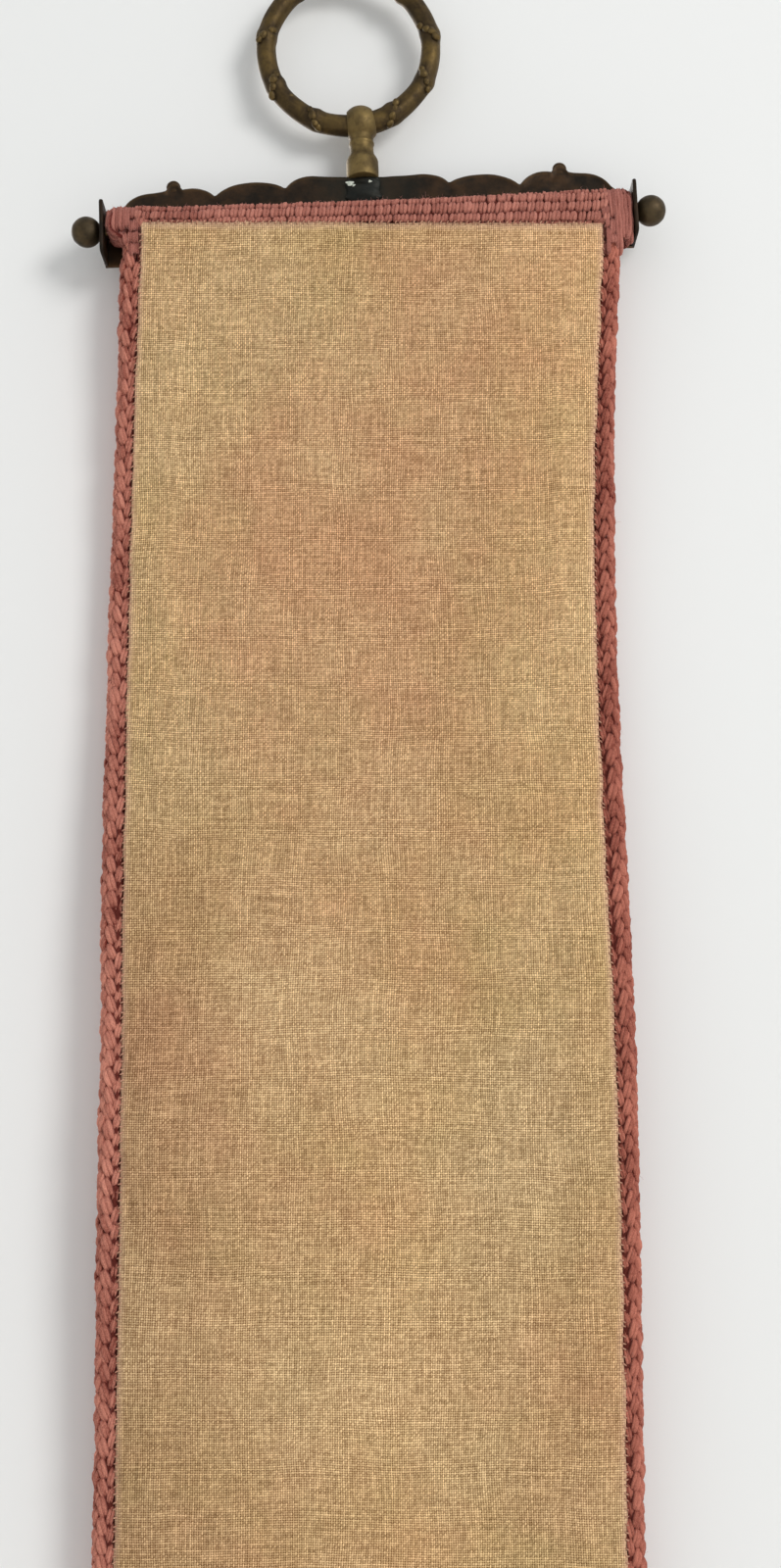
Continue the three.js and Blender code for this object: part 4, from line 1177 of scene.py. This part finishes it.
def stud():
    """Bored ball, neck with a bead, and wide foot."""
    ball, height = STUD_BALL / MM, EYE_HEIGHT / MM
    angles = np.radians(np.arange(-46, 90, 6.0))
    upper = [(ball * math.cos(a), height + ball * math.sin(a)) for a in angles]
    profile = STUD_PROFILE + upper + [(0, height + ball)]
    place = Matrix.Translation((STUD_SIDE, STUD_DEPTH, 0))
    body = lathed("stud_ball", profile, 64, place, LIT_STUD_BRONZE)
    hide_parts("ring_stud")
    tool = bore_tool()
    cut = body.modifiers.new("bore", "BOOLEAN")
    cut.operation = "DIFFERENCE"
    cut.solver = "EXACT"
    cut.object = tool
    bpy.context.view_layer.update()
    bored = body.evaluated_get(bpy.context.evaluated_depsgraph_get())
    bored = bpy.data.meshes.new_from_object(bored)
    body.modifiers.clear()
    body.data = bored
    bpy.data.objects.remove(tool)
    bored.shade_smooth()
    bored.set_sharp_from_angle(angle=math.radians(35))


def blurred(table, down, across):
    """A table smoothed both ways."""
    return smoothed(smoothed(table, down).T, across).T


def tongue():
    """The soldered tongue below the stud: a dark lump that runs out over the plate."""
    rows = np.linspace(0, 1, 30)[:, None]
    around = np.radians(np.arange(0, 360, 7.5))[None]
    half = 5.9 - 1.3 * rows - 2.6 * np.clip(1 - 5 * rows, 0, 1) ** 2 + 0.35 * np.sin(11 * rows + 1)
    swell = np.sin(np.pi * np.clip(rows, 0.02, 0.98)) ** 0.4
    lumps = np.random.default_rng(12).normal(0, 1, (30, 48))
    lumps = blurred(np.hstack([lumps, lumps]), 7, 15)[:, :48]
    bulge = np.where(np.sin(around) < 0, 1.5 + 1.2 * lumps, 0.4) * swell
    x = STUD_SIDE / MM + half * np.cos(around)
    y = 4.6 + bulge * np.sin(around)
    capped_tube("stud_tongue", to_world(xyz(x, y, 9.0 + 9.6 * rows)), SOLDER)


# Specks of old wall paint on the solder: side, height and half width in mm
PAINT_SPECKS = [(-5.4, 14.6, 1.15), (-4.2, 13.9, 0.6), (0.9, 15.0, 0.55)]


def paint_specks():
    """Flat drops with ragged edges, lower than they are wide."""
    angle = np.radians(np.arange(0, 360, 15.0))[None]
    tilt = np.radians(np.arange(-80, 81, 16.0))[:, None]
    for i, (side, height, half) in enumerate(PAINT_SPECKS):
        out = half * (1 + 0.22 * np.sin(3 * angle + i) + 0.1 * np.sin(5 * angle)) * np.cos(tilt)
        local = xyz(side + out * np.cos(angle), 3.35 - 0.3 * np.sin(tilt), height + 0.7 * out * np.sin(angle))
        capped_tube(f"paint_speck_{i + 1}", to_world(local), PAINT)


# ---- crest plate ----

PLATE_HALF = 81.7  # mm along the rod
PLATE_FOOT = -9.0  # mm over the rod's axis
PLATE_NEAR, PLATE_FAR = 4.9, 6.1  # mm behind the rod's axis
CREST_VALLEYS = np.array([-47.4, -25.5, 25.5, 47.4])  # mm along the rod

# An ear's two faces along the rod, and its outline as (depth, height) from the rod's axis, in mm. Its
# corners are eased by wear.
EAR_FACES = (80.7, 81.8)
EAR_BEVEL = 0.35
EAR_OUTLINE = [
    (-5.7, 7.2), (-5.7, 3.0), (-5.75, -2.0), (-5.6, -7.6), (-5.2, -8.6), (-4.2, -9.0), (0.0, -9.05),
    (5.2, -9.0), (5.2, 0.0), (5.2, 7.9), (0.5, 8.1), (-4.6, 8.2), (-5.4, 7.9),
]

# The crest's two knobs: place along the rod and height over it, in mm
CREST_KNOBS = [("crest_knob_left", -60.2, 16.5), ("crest_knob_right", 60.0, 17.7)]
KNOB_PROFILE = [
    (0, -0.78), (1.2, -0.76), (1.8, -0.62), (2.15, -0.3), (2.22, 0.0), (2.15, 0.3), (1.8, 0.62), (1.2, 0.76),
    (0, 0.78),
]


def crest():
    """The cast plate: lobes with a rim and groove, creases between them, and the rim's far side."""
    columns = np.linspace(-PLATE_HALF, PLATE_HALF, 250)
    low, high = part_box("crest_plate")
    cuts = np.linspace(low.x + 0.2 * MM, high.x - 0.2 * MM, 500)
    top = to_hanger(sections("crest_plate", 0, 2, cuts)[1])
    height = np.interp(columns, top[:, 0], top[:, 2])
    share = np.concatenate([np.linspace(0, 0.86, 18), [0.90, 0.935, 0.965, 0.985, 1.0]])[:, None]
    z = PLATE_FOOT + share * (height - PLATE_FOOT)
    below = np.maximum(height - z, 0)
    rim = 0.42 * bell(below - 0.9, 0.75) - 0.55 * bell(below, 0.32, 1.6)
    groove = -0.34 * bell(below - 3.1, 0.5) * np.clip(height - 11, 0, 3) / 3
    gap = np.abs(columns[:, None] - CREST_VALLEYS).min(1)
    crease = -0.3 * bell(gap + 0.25 * below, 1.1)
    dome = 0.25 * np.sin(np.clip(below / 9, 0, 1) * np.pi)
    lumps = 0.22 * blurred(np.random.default_rng(9).normal(0, 1, z.shape), 5, 9)
    near = PLATE_NEAR - (rim + groove + crease + dome + lumps) * np.clip((z - 8.2) / 1.6, 0, 1)
    far = PLATE_FAR + 0.8 * np.maximum(rim, -0.5) * np.clip((z - 6) / 2, 0, 1)
    local = np.concatenate([xyz(columns, near, z), xyz(columns, far, z)[::-1]])
    plate = capped_tube("crest", to_world(local).transpose(1, 0, 2), PLATE)
    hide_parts("crest_plate")


def crest_knobs():
    """The two round knobs cast on the crest."""
    for name, side, height in CREST_KNOBS:
        place = Matrix.Translation((side * MM, STUD_DEPTH, height * MM))
        lathed(name, KNOB_PROFILE, 32, place @ Matrix.Rotation(math.pi / 2, 4, "X"), PLATE)


def ear(side, name):
    """An ear of the plate: a slab across the rod, with eased edges."""
    low, high = sorted((side * EAR_FACES[0], side * EAR_FACES[1]))
    inwards = unit(np.mean(EAR_OUTLINE, 0) - EAR_OUTLINE)
    depth, inset = EAR_BEVEL * np.array([[0, 0.3, 1], [1, 0.3, 0]])
    along = np.concatenate([low + depth, (high - depth)[::-1]])
    rings = EAR_OUTLINE + np.concatenate([inset, inset[::-1]])[:, None, None] * inwards
    along = np.broadcast_to(along[:, None, None], (*rings.shape[:2], 1))
    capped_tube(name, to_world(np.concatenate([along, rings], -1)), PLATE)


# ---- camera, lights and stage ----

CAMERA_PLACE = (6.64 * MM, -506 * MM, -257.2 * MM)  # from the rod's middle
CAMERA_PITCH = math.radians(9.26)
LAMP_AIM = rod_centre - (0, 0, 0.2)  # 0.2 m below the rod
REACH = 3.0  # of the wall and the floor


def camera():
    """The photo's camera: it looks slightly up."""
    data = bpy.data.cameras.new("camera")
    data.lens = 40.5
    data.sensor_width = 36
    data.clip_start = 0.01
    obj = added("camera", data)
    obj.location = Vector(rod_centre) + Vector(CAMERA_PLACE)
    obj.rotation_euler = (math.pi / 2 + CAMERA_PITCH, 0, 0)
    bpy.context.scene.camera = obj


def area_light(name, place, size, power):
    """A round lamp that faces the upper part of the piece."""
    data = bpy.data.lights.new(name, "AREA")
    data.shape = "DISK"
    data.size = size
    data.energy = power
    obj = added(name, data)
    obj.location = place
    obj.rotation_euler = (Vector(LAMP_AIM) - Vector(place)).to_track_quat("-Z", "Y").to_euler()


def backdrop_material():
    """Pale and matt. It is seen from its near side only, and lets the lamps behind it through."""
    g = Graph("backdrop")
    g.finish(Base_Color=(0.80, 0.795, 0.775, 1), Roughness=0.9, Specular_IOR_Level=0.1)
    clear = g.node("BsdfTransparent")[0]
    backside = g.node("NewGeometry")["Backfacing"]
    shadow = g.node("LightPath")["Is Shadow Ray"]
    see_through = g.math("MAXIMUM", backside, shadow)
    mixed = g.node("MixShader", {0: see_through, 1: g.shader.outputs[0], 2: clear})[0]
    g.put(g.tree.nodes["Material Output"].inputs[0], mixed)
    return g.material


def stage_plane(name, low, high, material):
    """A level or upright rectangle of the stage, from its left front or low corner to the other."""
    mesh = bpy.data.meshes.new(name)
    (left, *start), (right, *end) = low, high
    mesh.from_pydata([(left, *start), (right, *start), (right, *end), (left, *end)], [], [range(4)])
    mesh.materials.append(material)
    obj = added(name, mesh)


def stage():
    """A wall close behind the piece, a floor under it, a pale sky and two lamps."""
    material = backdrop_material()
    wall, floor = cad_high.y + 4 * MM, cad_low.z - 0.12
    stage_plane("wall", (-REACH, wall, floor), (REACH, wall, REACH), material)
    stage_plane("floor", (-REACH, -REACH, floor), (REACH, REACH, floor), material)
    world = bpy.data.worlds.new("world")
    world.use_nodes = True
    sky = world.node_tree.nodes["Background"].inputs
    sky[0].default_value = (0.94, 0.97, 1.0, 1)
    sky[1].default_value = 0.7
    bpy.context.scene.world = world
    area_light("key", (1.45, -1.9, 0.45), 1.0, 27.5)
    area_light("fill_behind", (-0.6, 1.3, 0.4), 1.2, 26.0)


# ---- the whole ----

camera()
stage()
cloth = canvas()
plaits = [
    side_plait(-1, "plait_left", 3, WOOL), side_plait(1, "plait_right", 4, SHADED_FADED_RIGHT_WOOL), foot_plait(),
]
ends = [corner(-1, "corner_left", 6), corner(1, "corner_right", 7)]
rows_on_fold = band()
face = front_stitches()
loose = [
    fuzz("fuzz_edges", plaits, 3800, 14), fuzz("fuzz_fold", [rows_on_fold], 2500, 15),
    fuzz("fuzz_corners", ends, 900, 16),
]
backing = lining_cloth()
sewing = hem_stitches()
buds = bud_places()
ring_buds(buds)
branch_ring(buds)
stud()
tongue()
paint_specks()
finial(-1, "finial_left")
finial(1, "finial_right")
crest()
crest_knobs()
ear(-1, "ear_left")
ear(1, "ear_right")
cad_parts["rod"].data.materials[0] = BRONZE

scene = bpy.context.scene
scene.view_settings.view_transform = "Standard"
